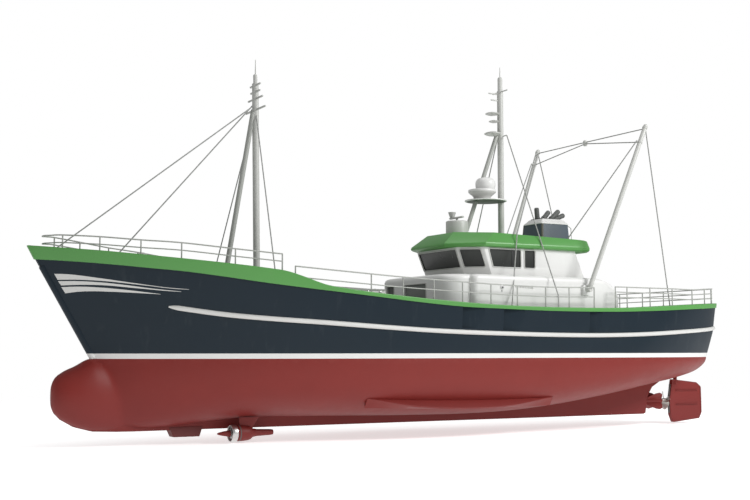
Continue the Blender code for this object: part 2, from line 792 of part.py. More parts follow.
def windows():
    """Name, four corners and outward normal of each wheelhouse window."""
    found = []
    z_top = 5.47
    z_low = 4.60

    def on_wall(share, low, high, z):
        """A point on the wall between two neighbouring corners, at a share of its width."""
        up = (z - HOUSE_TOP) / (CABIN_TOP - HOUSE_TOP)
        a = Vector((*low[0], HOUSE_TOP)).lerp(Vector((*high[0], CABIN_TOP)), up)
        b = Vector((*low[1], HOUSE_TOP)).lerp(Vector((*high[1], CABIN_TOP)), up)
        return a.lerp(b, share)

    front = (((CABIN_LOW[0][0], -1.80), CABIN_LOW[0]), ((CABIN_HIGH[0][0], -1.88), CABIN_HIGH[0]))
    found.append(("pane_front", wall_window(on_wall, front, 0.03, 0.97, z_low, z_top)))
    for side, name in ((1, "port"), (-1, "starboard")):
        low = [(x, side * y) for x, y in CABIN_LOW]
        high = [(x, side * y) for x, y in CABIN_HIGH]
        corner = (low[:2], high[:2])
        found.append((f"pane_corner_{name}", wall_window(on_wall, corner, 0.10, 0.86, z_low, z_top)))
        found.append((f"pane_side_{name}", side_window(side, (-3.46, -5.42), (-3.72, -5.43))))
        found.append((f"pane_aft_side_{name}", side_window(side, (-5.69, -6.33), (-5.69, -6.32))))
    aft = (((CABIN_LOW[2][0], 2.85), (CABIN_LOW[2][0], -2.85)), ((CABIN_HIGH[2][0], 2.85), (CABIN_HIGH[2][0], -2.85)))
    found.append(("pane_aft", wall_window(on_wall, aft, 0.29, 0.71, z_low, z_top)))
    return found


def wall_window(on_wall, wall, start, end, z_low, z_top):
    return [
        on_wall(start, *wall, z_low),
        on_wall(end, *wall, z_low),
        on_wall(end, *wall, z_top),
        on_wall(start, *wall, z_top),
    ]


def side_window(side, top, low):
    y = side * 2.85
    return [Vector((low[0], y, 4.60)), Vector((low[1], y, 4.60)), Vector((top[1], y, 5.49)), Vector((top[0], y, 5.49))]


def make_wheelhouse():
    cabin = walls("wheelhouse_walls", [ring_of(CABIN_LOW, HOUSE_TOP + GAP), ring_of(CABIN_HIGH, CABIN_TOP)], CABIN_WALL, white())
    for name, corners in windows():
        normal = (corners[1] - corners[0]).cross(corners[3] - corners[0]).normalized()
        if normal.y * corners[0].y + normal.x * (corners[0].x + 6) < 0:
            normal.negate()
        combine(cabin, prism(name + "_hole", corners, normal, 0.6))
        middle = [p - normal * 0.045 for p in shrunk(corners, GAP)]
        prism(name, middle, normal, PANE_THICKNESS, glass())
    make_brow_roof()


def brow(front, corner, side, aft, z_front, z_aft):
    """A loop of the roof: front corner, side corner and a rounded after corner, its height falling aft."""
    port = [(*front, 0.0), (*corner, 0.0), (aft, side, 1.1)]
    corners = [(x, -y, r) for x, y, r in reversed(port)] + port
    loop = []
    for p in rounded(corners, steps=4):
        fall = min(max((front[0] - p.x) / (front[0] - aft), 0), 1)
        loop.append(Vector((p.x, p.y, z_front + (z_aft - z_front) * fall)))
    return loop


def make_brow_roof():
    loops = [
        brow((-1.66, 1.56), (-3.14, 3.00), 3.00, -10.26, 5.5803, 5.5803),
        brow((-1.54, 1.60), (-3.08, 3.11), 3.11, -10.36, 5.70, 5.70),
        brow((-1.60, 1.59), (-3.10, 3.10), 3.10, -10.36, 5.80, 5.80),
        brow((-2.38, 1.27), (-3.98, 2.60), 3.00, -10.33, 6.42, 6.16),
    ]
    roof = add_shape("wheelhouse_roof", loft(loops), green())
    inside = [
        ring_of(((-2.40, 1.66), (-3.36, 2.62), (-8.6, 2.62)), 5.4),
        ring_of(((-2.40, 1.66), (-3.36, 2.62), (-8.6, 2.62)), 5.75),
        ring_of(((-2.75, 1.10), (-4.0, 2.20), (-8.6, 2.30)), 6.08),
    ]
    combine(roof, add_shape("roof_space", loft(inside)))
    return roof


def make_roof_gear():
    """What stands on the wheelhouse roof. Each foot is cut to the roof's sloping top."""
    clear = grown(bpy.data.objects["wheelhouse_roof"])
    low = ring_of(((-8.29, 0.94), (-10.24, 0.98)), 5.9)
    high = ring_of(((-8.39, 0.82), (-10.16, 0.86)), 7.23)
    funnel = add_shape("funnel_casing", loft([low, high]), navy())
    combine(funnel, clear)
    rims = ((7.2303, -0.03), (7.36, 0.05), (7.52, 0.2))
    loops = []
    for z, inward in rims:
        loops.append(ring_of(((-8.39 - inward, 0.82 - inward), (-10.16 + inward, 0.86 - inward)), z))
    add_shape("funnel_cap", loft(loops), white())
    base = block("exhaust_pipes", (-9.9, -0.5, 7.5203), (-8.65, 0.5, 7.57), dark())
    pipes = (
        ((-8.84, -0.15, 7.54), (-8.78, -0.15, 8.20)),
        ((-9.02, 0.1, 7.54), (-9.45, 0.1, 8.00)),
        ((-9.45, 0.2, 7.54), (-10.05, 0.2, 8.06)),
        ((-9.72, 0.05, 7.54), (-10.52, 0.05, 7.86)),
    )
    for start, end in pipes:
        join(base, rod("exhaust", start, end, 0.135, sides=12))
    combine(base, block("cap_space", (-11, -1, 7.0), (-8, 1, 7.5203)))
    drum = rod("scanner_drum", (-3.43, 0, 6.2), (-3.43, 0, 7.15), 0.59, paint=white(), sides=28)
    combine(drum, clear)
    scanner = block("radar_scanner", (-3.50, -0.62, 7.28), (-3.30, 0.62, 7.38), grey())
    hang(scanner, (-3.43, 0, 0))
    join(scanner, rod("scanner_post", (-3.43, 0, 7.1503), (-3.43, 0, 7.33), 0.09))
    join(scanner, rod("scanner_horn", (-3.40, -0.42, 7.34), (-3.40, -0.42, 7.66), 0.10, 0.21))
    return clear, grown(drum)


def make_main_mast(roof_clear, drum_clear):
    x = MAST_X
    mast = rod("main_mast", (x, 0, 6.0), (x, 0, 14.4), 0.165, paint=grey(), sides=14)
    join(mast, rod("topmast", (x, 0, 14.3), (x, 0, 15.16), 0.13))
    join(mast, rod("spike", (x, 0, 15.1), (x, 0, 15.73), 0.03, sides=6))
    join(mast, rod("crossarm", (x, -0.65, 14.36), (x, 0.65, 14.36), 0.035, sides=6))
    join(mast, rod("arm", (x, 0, 14.22), (x + 0.72, 0, 14.22), 0.04, sides=6))
    join(mast, rod("arm", (x, 0, 13.87), (x + 0.58, 0, 13.87), 0.04, sides=6))
    for name, reach, radius, z, thick in (("disc", 0.56, 0.5, 13.11, 0.2), ("disc", 0.42, 0.38, 12.70, 0.16)):
        join(mast, lens(name, (x + reach, 0, z), radius, thick))
    join(mast, lens("mast_platform", (x + 0.42, 0, 12.02), 0.64, 0.26))
    join(mast, rod("shroud_bar", (x - 0.1, -0.45, 11.93), (x - 0.1, 0.45, 11.93), 0.03, sides=6))
    combine(mast, roof_clear)
    strut = rod("mast_strut", (-6.05, 0, 12.0), (-3.88, 0, 6.2), 0.115, paint=grey(), sides=10)
    mast_clear = grown(rod("mast_space", (x, 0, 5.9), (x, 0, 15.2), 0.165, sides=14))
    combine(strut, lens("platform_space", (x + 0.42, 0, 12.02), 0.6405, 0.262))
    combine(strut, mast_clear)
    combine(strut, drum_clear)
    combine(strut, roof_clear)
    strut_clear = rod("strut_space", (-6.05, 0, 12.0), (-3.88, 0, 6.2), 0.1155, sides=10)
    platform = lens("dish_platform", (-5.28, 0, 8.33), 1.12, 0.20, grey(), 28)
    combine(platform, mast_clear)
    combine(platform, strut_clear)
    bowl_profile = ((0.735, 8.92), (0.735, 8.80), (0.45, 8.52), (0.45, 8.34))
    bowl = turned("dish_base", bowl_profile, (-5.08, 0, 0), None, 24)
    combine(bowl, lens("platform_top", (-5.28, 0, 8.33), 1.1205, 0.201, None, 28))
    dome_profile = ((0.16, 9.60), (0.34, 9.56), (0.48, 9.44), (0.54, 9.26), (0.52, 9.08), (0.46, 8.9))
    dome = turned("radome", dome_profile, (-5.27, 0, 0), white(), 24)
    join(dome, bowl)
    combine(dome, strut_clear)


def lens(name, centre, radius, thick, paint=None, sides=16):
    """A round plate that thins out to its edge."""
    half = thick / 2
    profile = ((radius * 0.3, half), (radius * 0.75, half * 0.62), (radius, half * 0.18),
               (radius, -half * 0.18), (radius * 0.75, -half * 0.62), (radius * 0.3, -half))
    return turned(name, profile, centre, paint, sides)


def make_foremast(deck_clear):
    foot = Vector((8.03, 0, 3.0))
    head = Vector((8.20, 0, 13.19))
    mast = rod("foremast", foot, head, 0.16, paint=grey(), sides=14)
    join(mast, rod("fore_topmast", head - Vector((0, 0, 0.1)), head + Vector((0.01, 0, 0.46)), 0.10, sides=10))
    join(mast, rod("fore_spike", head + Vector((0, 0, 0.4)), head + Vector((0, 0, 1.18)), 0.03, sides=6))
    for z, reach in ((13.12, 0.55), (12.80, 0.5), (12.46, 0.8), (11.92, 1.1)):
        x = 8.03 + 0.17 * (z - 3.0) / 10.19
        join(mast, rod("crosstree", (x, -reach, z), (x, reach, z), 0.05, sides=6))
    combine(mast, deck_clear)
    strut = rod("foremast_strut", (8.287, 0, 11.9), (9.78, 0, 3.1), 0.12, paint=grey(), sides=10)
    clear = grown(rod("foremast_space", foot, head, 0.16, sides=14))
    combine(strut, clear)
    combine(strut, deck_clear)
    return clear


def make_booms():
    """The two booms with the span wires and block between their heads: they swing as one."""
    booms = rod("cargo_booms", BOOM_HEEL, BOOM_HEAD, 0.12, paint=grey(), sides=10)
    other = rod("boom_starboard", BOOM_HEEL, BOOM_HEAD, 0.12, sides=10)
    other.data.transform(Matrix.Diagonal((1, -1, 1, 1)))
    other.data.flip_normals()
    head = BOOM_HEAD - Vector((0, 0, 0.12))
    middle = Vector((-12.17, 0, 12.11))
    far_head = Vector((head.x, -head.y, head.z))
    wires = [head, middle + Vector((0, 0.1, 0.0)), middle - Vector((0, 0.1, 0)), far_head]
    upper = pipe("span_wire", wires, 0.025, resolution=0)
    lower_head = BOOM_HEEL.lerp(BOOM_HEAD, 0.90)
    low_middle = middle - Vector((0, 0, 0.08))
    lower = [lower_head, low_middle, Vector((lower_head.x, -lower_head.y, lower_head.z))]
    lower_wire = pipe("lower_span_wire", lower, 0.025, resolution=0)
    hub = rod("span_block", middle + Vector((0, 0, 0.12)), middle - Vector((0, 0, 0.22)), 0.12, sides=10)
    trunnions = []
    for side in (1, -1):
        start = (BOOM_HEEL.x, side * (BOOM_HEEL.y - 0.16), BOOM_HEEL.z)
        end = (BOOM_HEEL.x, side * (BOOM_HEEL.y + 0.16), BOOM_HEEL.z)
        trunnions.append(rod("trunnion", start, end, 0.10, sides=12))
    join(booms, upper, other, lower_wire, hub, *trunnions)
    hang(booms, (BOOM_HEEL.x, 0, BOOM_HEEL.z))


def make_boom_brackets(house):
    """A bracket on each side of the deckhouse, which the boom's heel turns on."""
    for side in (1, -1):
        inner = 3.70
        outer = BOOM_HEEL.y - 0.16 - GAP
        low = (BOOM_HEEL.x - 0.22, min(side * inner, side * outer), 3.2)
        high = (BOOM_HEEL.x + 0.22, max(side * inner, side * outer), 3.75)
        join(house, block("boom_bracket", low, high))


# Rails, wires and deck gear.


def rail(name, top, drops, posts, radius=0.025, paint=None, foot=0.08):
    """A rail along top, with lower pipes at each drop below it and posts down to the band."""
    first = pipe(name, top, radius, paint or grey())
    for drop in drops:
        line = [(x, y, z - drop) for x, y, z in top]
        join(first, pipe(name + "_lower", line, radius * 0.9, resolution=0))
    for x, y, z in posts:
        join(first, rod(name + "_post", (x, y, band_top(x) - foot), (x, y, z), radius, sides=6))
    return first


def on_line(line, x):
    """The point at x of a line of points that runs along the hull."""
    points = sorted(line)
    y = straight([(p[0], p[1]) for p in points], x)
    z = straight([(p[0], p[2]) for p in points], x)
    return (x, y, z)


def make_rails(band_clear):
    bow = [(17.93, 0.44, 5.35), (17.53, 0.66, 5.36), (16.14, 1.36, 5.28), (14.56, 2.12, 5.15), (12.94, 2.75, 5.05),
           (10.69, 3.42, 4.83), (8.6, 3.84, 4.66)]
    bow_line = [(x, half_breadth(DECK_LINE, x) - 0.1, z) for x, _, z in bow]
    loop = bow_line[::-1] + mirrored(bow_line)
    post_x = (8.6, 10.69, 12.94, 14.56, 16.14, 17.53)
    posts = [on_line(bow_line, x) for x in post_x]
    posts += mirrored(posts)
    bow_rail = rail("bow_rail", loop, (0.33,), posts)
    combine(bow_rail, band_clear)
    side_line = [(x, half_breadth(DECK_LINE, x) - 0.12, z) for x, z in
                 ((7.83, 4.12), (4.18, 3.89), (2.46, 3.80), (0.76, 3.73), (-0.88, 3.67), (-2.55, 3.61),
                  (-4.14, 3.57), (-5.9, 3.55), (-7.4, 3.57), (-9.04, 3.60))]
    for side, name in ((1, "side_rail_port"), (-1, "side_rail_starboard")):
        top = side_line if side == 1 else mirrored(side_line)
        side_rail = rail(name, top, (0.48,), top)
        combine(side_rail, band_clear)
    make_stern_rail(band_clear)


def make_stern_rail(band_clear):
    line = DECK_LINE._replace(beam=DECK_LINE.beam - 0.16, stern=DECK_LINE.stern + 0.16)
    port = []
    for x in (-11.3, -12.9, -14.5, -16.2, -17.6, -18.8, -19.7, -20.25):
        port.append((x, half_breadth(line, x), 3.68 + 0.25 * min(max((-16.2 - x) / 4, 0), 1)))
    top = port + mirrored(port[::-1])
    posts = port[:-1]
    stern = rail("stern_rail", top, (0.27, 0.54), posts + mirrored(posts))
    combine(stern, band_clear)


def make_wires(band_clear, deck_clear, foremast_clear):
    """The main stays and shrouds, each a taut wire between its fittings."""
    radius = 0.03
    foot = (-6.64, 4.37, 3.12)
    plate = (-6.64, 4.37, 2.48)
    stays = (
        ("forestay", ((8.30, 0.05, 12.10), (17.72, 0.0, 4.3))),
        ("inner_forestay", ((8.30, -0.05, 12.14), (15.40, 0.0, 3.9))),
        ("fore_shroud_port", ((8.19, 0.10, 11.7), (8.8, 3.72, 3.5))),
        ("fore_shroud_starboard", ((8.19, -0.10, 11.7), (8.8, -3.72, 3.5))),
        ("main_shroud_port", ((-6.40, 0.42, 11.93), foot, plate)),
        ("main_shroud_starboard", mirrored(((-6.40, 0.42, 11.93), foot, plate))),
    )
    bar = rod("shroud_bar_space", (MAST_X - 0.1, -0.45, 11.93), (MAST_X - 0.1, 0.45, 11.93), 0.0305, sides=6)
    for name, points in stays:
        wire = pipe(name, points, radius, grey(), resolution=0)
        combine(wire, band_clear)
        combine(wire, deck_clear if "fore" in name else bar)
        if "fore" in name:
            combine(wire, foremast_clear)


def make_deck_gear(deck_clear):
    coaming_z = sheer(3.0) + DECK_RISE
    outline = rounded(whole_box(1.6, 4.4, 1.3, 0.2))
    coaming = walls("hatch_coaming", [on_deck(outline), at_height(outline, coaming_z + 0.42)], 0.06, white())
    combine(coaming, deck_clear)
    lid_low = at_height(inset(outline, -0.03), coaming_z + 0.42 + GAP)
    lid_high = at_height(inset(outline, -0.03), coaming_z + 0.50)
    lid = add_shape("hatch_lid", loft([lid_low, lid_high]), grey())
    hang(lid, (1.57, 0, coaming_z + 0.42))
    windlass = block("windlass", (13.6, -0.55, 3.5), (14.4, 0.55, 4.35), grey())
    join(windlass, rod("warping_drum", (14.0, -0.95, 4.45), (14.0, 0.95, 4.45), 0.28, sides=16))
    combine(windlass, deck_clear)


def whole_box(aft, fore, half, radius):
    return [(aft, -half, radius), (fore, -half, radius), (fore, half, radius), (aft, half, radius)]


def hang(obj, pivot):
    """Moves an object's origin to its pivot, its shape staying where it is."""
    pivot = Vector(pivot)
    obj.data.transform(Matrix.Translation(-pivot))
    obj.location = pivot


clear_scene()
TRAWLER = new_collection("fishing_trawler")
HELPERS = new_collection("cutters")
hull_space, topsides_space = make_hull()
band_shape = make_band(topsides_space)
deck_space = make_deck(topsides_space)
band_space = grown(band_shape)
make_strakes(topsides_space)
make_bilge_keels(bpy.data.objects["hull_bottom"])
make_stem_bar(bpy.data.objects["topsides"])
make_keel_fittings(hull_space)
make_pod(hull_space)
make_stern_gear(hull_space)
make_deckhouse(deck_space)
make_wheelhouse()
roof_space, drum_space = make_roof_gear()
make_main_mast(roof_space, drum_space)
foremast_space = make_foremast(deck_space)
make_booms()
make_boom_brackets(bpy.data.objects["deckhouse_walls"])
make_rails(band_space)
make_wires(band_space, deck_space, foremast_space)
make_deck_gear(deck_space)
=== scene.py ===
"""Dresses the fishing trawler's solids: smooth skins, fittings, rigging and finishes.

Metres, +X to the bow, +Y to port, +Z up, zero at the lower edge of the white waterline stripe.
"""

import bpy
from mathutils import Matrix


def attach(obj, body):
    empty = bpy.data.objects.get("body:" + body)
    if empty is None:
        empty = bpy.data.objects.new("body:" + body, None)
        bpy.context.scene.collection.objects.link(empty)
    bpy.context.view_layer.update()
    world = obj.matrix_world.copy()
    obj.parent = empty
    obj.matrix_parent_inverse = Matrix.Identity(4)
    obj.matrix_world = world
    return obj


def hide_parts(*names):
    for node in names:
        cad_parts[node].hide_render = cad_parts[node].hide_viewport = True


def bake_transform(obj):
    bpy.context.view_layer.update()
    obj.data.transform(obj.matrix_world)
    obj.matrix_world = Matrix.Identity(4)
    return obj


bl_info = {
    "name": "Fishing Trawler",
    "version": (1, 0, 0),
    "blender": (4, 5, 0),
    "location": "View3D > Sidebar > Trawler",
    "description": "Skins, fittings, rigging and finishes of a steel fishing trawler",
    "category": "Add Mesh",
}

from collections import namedtuple
from math import cos, hypot, pi, radians, sin, tan

import bmesh
import bpy
from mathutils import Matrix, Vector

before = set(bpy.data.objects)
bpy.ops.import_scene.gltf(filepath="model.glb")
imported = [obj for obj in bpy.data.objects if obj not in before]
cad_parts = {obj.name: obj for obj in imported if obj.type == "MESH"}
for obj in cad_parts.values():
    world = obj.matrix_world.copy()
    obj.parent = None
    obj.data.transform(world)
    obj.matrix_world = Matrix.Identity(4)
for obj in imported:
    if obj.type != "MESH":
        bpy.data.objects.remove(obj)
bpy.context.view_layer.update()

# Hull form: the same tables as the part's source.
STEM_FOOT_X = 15.99
STEM_RAKE = 0.582
END_HALF_WIDTH = 0.10
SKEG_HALF_WIDTH = 0.25
STERN_END_X = -20.2
BAND_PROUD = 0.045
BAND_WIDTH = 0.30
DECK_RISE = 0.09
SHEER = ((-20.7, 2.91), (-19, 2.8), (-17.2, 2.70), (-15.4, 2.61), (-13.9, 2.53), (-11, 2.42), (-8.25, 2.38),
         (-5.7, 2.39), (-3.2, 2.44), (-0.87, 2.50), (1.4, 2.65), (3.55, 2.84), (5.6, 3.02), (7.6, 3.20),
         (9.4, 3.39), (11.2, 3.62), (12.8, 3.82), (14.4, 3.97), (16, 4.13), (17.5, 4.26), (18.9, 4.36))
BAND_TOP = ((-20.7, 3.13), (-19, 3.02), (-17.2, 2.92), (-15.4, 2.83), (-13.9, 2.74), (-11, 2.60), (-8, 2.55),
            (-4.5, 2.57), (-2, 2.64), (0.3, 2.76), (2.5, 2.91), (4.6, 3.09), (5.6, 3.20), (6.6, 3.34),
            (7.6, 3.65), (8.5, 3.90), (9.4, 4.01), (11.2, 4.19), (12.8, 4.34), (14.4, 4.49), (16, 4.65),
            (17.5, 4.78), (18.9, 4.91))
OUTLINE = ((-20.25, -0.04), (-20.0, -0.32), (-19.75, -0.55), (-19.4, -0.75), (-18.9, -0.95), (-18.5, -1.1),
           (-18.1, -1.2), (-17.27, -1.38), (-16.6, -1.73), (-16.21, -2.29), (-16.07, -3.23), (14.0, -3.23),
           (14.9, -3.22), (15.9, -3.18), (16.7, -2.97), (17.3, -2.63), (17.6, -2.33), (17.75, -1.93))
BOTTOM = ((-20.25, 0.0), (-20.0, -0.29), (-19.75, -0.51), (-19.4, -0.71), (-18.9, -0.91), (-18.5, -1.05),
          (-17.9, -1.17), (-16.8, -1.36), (-15.1, -1.6), (-14.2, -1.75), (-11.3, -2.2), (-8.45, -2.56),
          (-5.9, -2.78), (-3.8, -2.86), (0.8, -2.85), (3.7, -2.80), (5.8, -2.77), (8.6, -2.75), (10.5, -2.88),
          (12.5, -3.08), (14.0, -3.1), (14.8, -2.9), (15.3, -2.5), (15.7, -1.8), (15.95, -0.8), (16.05, 0.0))
BULB = ((13.6, -1.2, -2.7, 0.0), (14.2, -0.65, -3.1, 0.3), (15.0, -0.3, -3.2, 0.62), (15.6, -0.12, -3.18, 0.76),
        (15.99, 0.0, -3.14, 0.8), (16.7, -0.33, -2.94, 0.78), (17.3, -0.62, -2.6, 0.6), (17.6, -0.9, -2.3, 0.36),
        (17.75, -1.3, -1.9, 0.02))
STERN = ((0, -20.2), (0.15, -20.25), (0.9, -20.45), (1.5, -20.6), (3.2, -20.6))
SECTIONS = (-20.19, -20.08, -19.9, -19.65, -19.2, -18.6, -18.0, -17.3, -16.8, -16.45, -16.2, -16.08, -15, -13.5,
            -12, -10, -8, -6, -3.5, 0, 3.5, 6.5, 8.6, 10.5, 12, 13, 13.8, 14.5, 15.0, 15.4, 15.75, 15.985, 16.4,
            16.9, 17.3, 17.55, 17.7)
POCKETS = ((-2.08, -0.82, 1.45), (-4.49, -3.24, 1.38), (-9.47, -8.66, 1.33))
STRAKE_HEIGHT = ((-20.4, 1.72), (-18.5, 1.57), (-15.5, 1.39), (-12.5, 1.23), (-10, 1.16), (-7.0, 1.15), (-3.3, 1.20),
                 (0.2, 1.29), (3.5, 1.45), (6.5, 1.63), (9.3, 1.80), (11.1, 1.96), (13.3, 2.27), (18, 2.9))
BILGE_KEEL_HEIGHT = ((-7.0, -1.98), (-3.6, -2.02), (1.2, -1.95), (3.9, -1.86))
BILGE_KEEL_REACH = ((-7.0, 0.02), (-3.6, 0.34), (1.2, 0.32), (3.9, 0.02))
# Upper and lower edges of the three white sweeps on the bow: position, height.
SWEEPS = (
    (((17.77, 3.683), (17.27, 3.659), (16.02, 3.478), (14.79, 3.283), (13.43, 3.093), (12.58, 3.022)),
     ((17.62, 3.429), (16.87, 3.423), (15.88, 3.361), (15.09, 3.273), (14.11, 3.153), (13.2, 3.045), (12.58, 3.012))),
    (((17.6, 3.37), (16.86, 3.364), (15.92, 3.297), (15.0, 3.185), (14.1, 3.055), (12.88, 2.925)),
     ((17.46, 3.183), (16.8, 3.207), (15.9, 3.185), (14.99, 3.097), (14.32, 3.03), (13.41, 2.945), (12.88, 2.915))),
    (((17.45, 3.114), (16.75, 3.129), (15.89, 3.077), (14.97, 2.979), (13.68, 2.81)),
     ((17.27, 2.848), (16.8, 2.914), (16.22, 2.931), (15.62, 2.91), (14.74, 2.866), (13.68, 2.8))),
)
HOUSE_AFT_X = -11.39
HOUSE_TOP = 4.15
HOUSE_WALL_TOP = 3.85
HOUSE_STEP_X = -1.9
HOUSE_FRONT_X = -0.55
HOUSE_HALF_WIDTH = 3.75
FRONT_HALF_WIDTH = 3.42
DOOR_X = -0.645
DOOR_TOP = 3.70
# Openings in the deckhouse front: moving body, low and high y, finish of the leaf.
FRONT_DOORS = (("front_door", -0.61, 1.47, "panel"), ("front_hatch", -2.39, -1.66, "dark"))
CABIN_HALF_WIDTH = 2.85
# Port half of the wheelhouse wall in plan, at its foot and at its top.
CABIN_LOW = ((-2.67, 1.80), (-3.62, CABIN_HALF_WIDTH), (-9.60, CABIN_HALF_WIDTH))
CABIN_HIGH = ((-2.11, 1.88), (-3.13, CABIN_HALF_WIDTH), (-8.98, CABIN_HALF_WIDTH))
CABIN_TOP = 5.58
WINDOW_FOOT = 4.60
WINDOW_HEAD = 5.47
SIDE_WINDOW_HEAD = 5.49
ROOF_FRONT_X = -2.38
ROOF_FRONT_Z = 6.42
SHAFT_Z = -2.52
PROPELLER_X = -17.78
RUDDER_X = -18.62
# Sections of a window's frame and seal: distance outward from its edge, corner radius, distance proud of the wall.
FRAME_SECTION = ((0.0, 0.06, -0.02), (0.0, 0.06, 0.022), (0.006, 0.066, 0.028), (0.05, 0.11, 0.028),
                 (0.056, 0.116, 0.022), (0.056, 0.116, -0.01))
SEAL_SECTION = ((-0.03, 0.05, -0.026), (0.002, 0.05, -0.026), (0.002, 0.05, -0.012), (-0.03, 0.05, -0.012))
# Exhaust pipes: x at the foot, y, x and z at the mouth.
EXHAUSTS = ((-8.84, -0.15, -8.78, 8.20), (-9.02, 0.1, -9.45, 8.00), (-9.45, 0.2, -10.05, 8.06),
            (-9.72, 0.05, -10.52, 7.86))
DISH_X = -5.28
RADOME_X = -5.05
MAST_X = -6.28
# Level arms of the main mast: start and end from the mast's axis, height, radius.
MAST_ARMS = (((0, -0.65), (0, 0.65), 14.36, 0.035), ((0, 0), (0.72, 0), 14.22, 0.04), ((0, 0), (0.58, 0), 13.87, 0.04),
             ((-0.1, -0.45), (-0.1, 0.45), 11.93, 0.03))
# Discs on the main mast: distance ahead of the axis, height, radius, thickness.
MAST_DISCS = ((0.52, 13.11, 0.38, 0.18), (0.42, 12.70, 0.28, 0.14), (0.50, 12.02, 0.46, 0.24))
# Arms of the foremast: height, half length.
FOREMAST_ARMS = ((13.12, 0.55), (12.80, 0.5), (12.46, 0.8), (11.92, 1.1))
FOREMAST_FOOT = Vector((8.03, 0, 3.0))
FOREMAST_HEAD = Vector((8.20, 0, 13.19))
SCANNER_X = -3.43
BOOM_HEEL = Vector((-8.88, 4.07, 3.48))
BOOM_HEAD = Vector((-12.41, 4.67, 12.29))
POD = Vector((9.6, 0.95, -3.42))
WINDLASS = Vector((14.0, 0, 4.45))
# Hand rails from ahead to astern: place and height. The stern rail's height comes from a slope.
BOW_RAIL = ((18.18, 5.34), (17.95, 5.35), (17.53, 5.36), (16.14, 5.28), (14.56, 5.15), (12.94, 5.05), (10.69, 4.83),
            (8.6, 4.66))
SIDE_RAIL = ((7.98, 4.13), (4.18, 3.89), (2.46, 3.80), (0.76, 3.73), (-0.88, 3.67), (-2.55, 3.61), (-4.14, 3.57),
             (-5.9, 3.55), (-7.4, 3.57), (-9.04, 3.60))
STERN_RAIL = (-10.5, -11.3, -12.9, -14.5, -16.2, -17.6, -18.8, -19.7, -20.25)
# Boom guys from foot to head. The long one leads from the rail over the brow roof.
GUYS = {
    "port_fore": ((-9.08, 2.0, 6.19), (-11.86, 4.60, 11.49)),
    "port_aft": ((-14.48, 4.06, 2.75), (-12.40, 4.67, 12.2)),
    "starboard_fore": ((-7.85, -2.0, 6.23), (-11.86, -4.60, 11.49)),
    "starboard_aft": ((-14.48, -4.06, 2.75), (-12.40, -4.67, 12.2)),
    "long": ((-3.94, 4.10, 2.6), (-5.1, 3.02, 6.34), (-12.41, -4.67, 12.2)),
}

UP = (0, 0, 1)
AHEAD = (1, 0, 0)
ASTERN = (-1, 0, 0)
TO_PORT = (0, 1, 0)
FLOOR_Z = -3.88
# Room between solids that rest on each other.
GAP = 0.0003

Waterline = namedtuple("Waterline", "beam bow bow_run bow_power bow_shape stern stern_run stern_power stern_shape")
DECK_LINE = Waterline(4.4, 18.50, 14, 2.2, 0.9, -20.6, 6.5, 2, 0.5)
WATER_LINE = Waterline(4.2, STEM_FOOT_X, 15, 2.4, 0.95, -20.2, 9, 2, 0.5)


# Sizes and colours a user would change.


def length(name, description, default, low, high):
    return bpy.props.FloatProperty(
        name=name, description=description, default=default, min=low, max=high, unit="LENGTH")


def shade(name, description, default):
    return bpy.props.FloatVectorProperty(
        name=name, description=description, default=default, min=0, max=1, subtype="COLOR")


class TrawlerSizes(bpy.types.PropertyGroup):
    stripe_height: length("Waterline stripe", "Height of the white stripe above the red paint", 0.23, 0.05, 0.6)
    rail_radius: length("Rail radius", "Radius of the hand rails", 0.032, 0.01, 0.06)
    wire_radius: length("Wire radius", "Radius of stays and guys", 0.03, 0.005, 0.06)
    strake_radius: length("Strake radius", "Radius of the rubbing strakes", 0.11, 0.04, 0.2)
    flange_radius: length("Post flange", "Radius of the flange under each rail post", 0.07, 0.03, 0.15)
    hull_stations: bpy.props.IntProperty(
        name="Hull stations", description="Sections along the hull", default=220, min=60, max=500)


class TrawlerColours(bpy.types.PropertyGroup):
    topsides: shade("Topsides", "Dark paint above the waterline", (0.004, 0.0125, 0.021))
    bottom: shade("Bottom", "Antifouling paint below the waterline", (0.185, 0.017, 0.013))
    trim: shade("Trim", "Green of the bulwark band and the brow roof", (0.075, 0.275, 0.055))
    house: shade("Houses", "White of the houses and stripes", (0.70, 0.70, 0.685))
    metal: shade("Metalwork", "Grey of masts, rails and gear", (0.36, 0.37, 0.345))
    deck: shade("Deck", "Non-slip deck paint", (0.13, 0.145, 0.13))
    glass: shade("Glass", "Dark window glass", (0.03, 0.032, 0.03))


def sizes():
    return bpy.context.scene.trawler_sizes


def colours():
    return bpy.context.scene.trawler_colours


# Curves through tables, and the hull's form.


def straight(table, x):
    """The value at x of a table of (x, value) pairs, on straight lines between them."""
    if x <= table[0][0]:
        return table[0][1]
    for (x0, y0), (x1, y1) in zip(table, table[1:]):
        if x <= x1:
            return y0 + (y1 - y0) * (x - x0) / (x1 - x0)
    return table[-1][1]


def eased(table, x):
    """The value at x of a table of (x, value) pairs, on a smooth curve through them."""
    x = min(max(x, table[0][0]), table[-1][0])
    slopes = [(b[1] - a[1]) / (b[0] - a[0]) for a, b in zip(table, table[1:])]
    for i, (a, b) in enumerate(zip(table, table[1:])):
        if x <= b[0]:
            width = b[0] - a[0]
            start = (slopes[max(i - 1, 0)] + slopes[i]) / 2
            end = (slopes[i] + slopes[min(i + 1, len(slopes) - 1)]) / 2
            u = (x - a[0]) / width
            rise = a[1] * (2 * u**3 - 3 * u**2 + 1) + b[1] * (3 * u**2 - 2 * u**3)
            return rise + width * (start * (u**3 - 2 * u**2 + u) + end * (u**3 - u**2))
    return table[-1][1]


def spaced(start, end, count):
    return [start + (end - start) * i / (count - 1) for i in range(count)]


def around(count):
    """Angles evenly round a circle."""
    return [2 * pi * k / count for k in range(count)]


def held(value):
    return min(max(value, 0), 1)


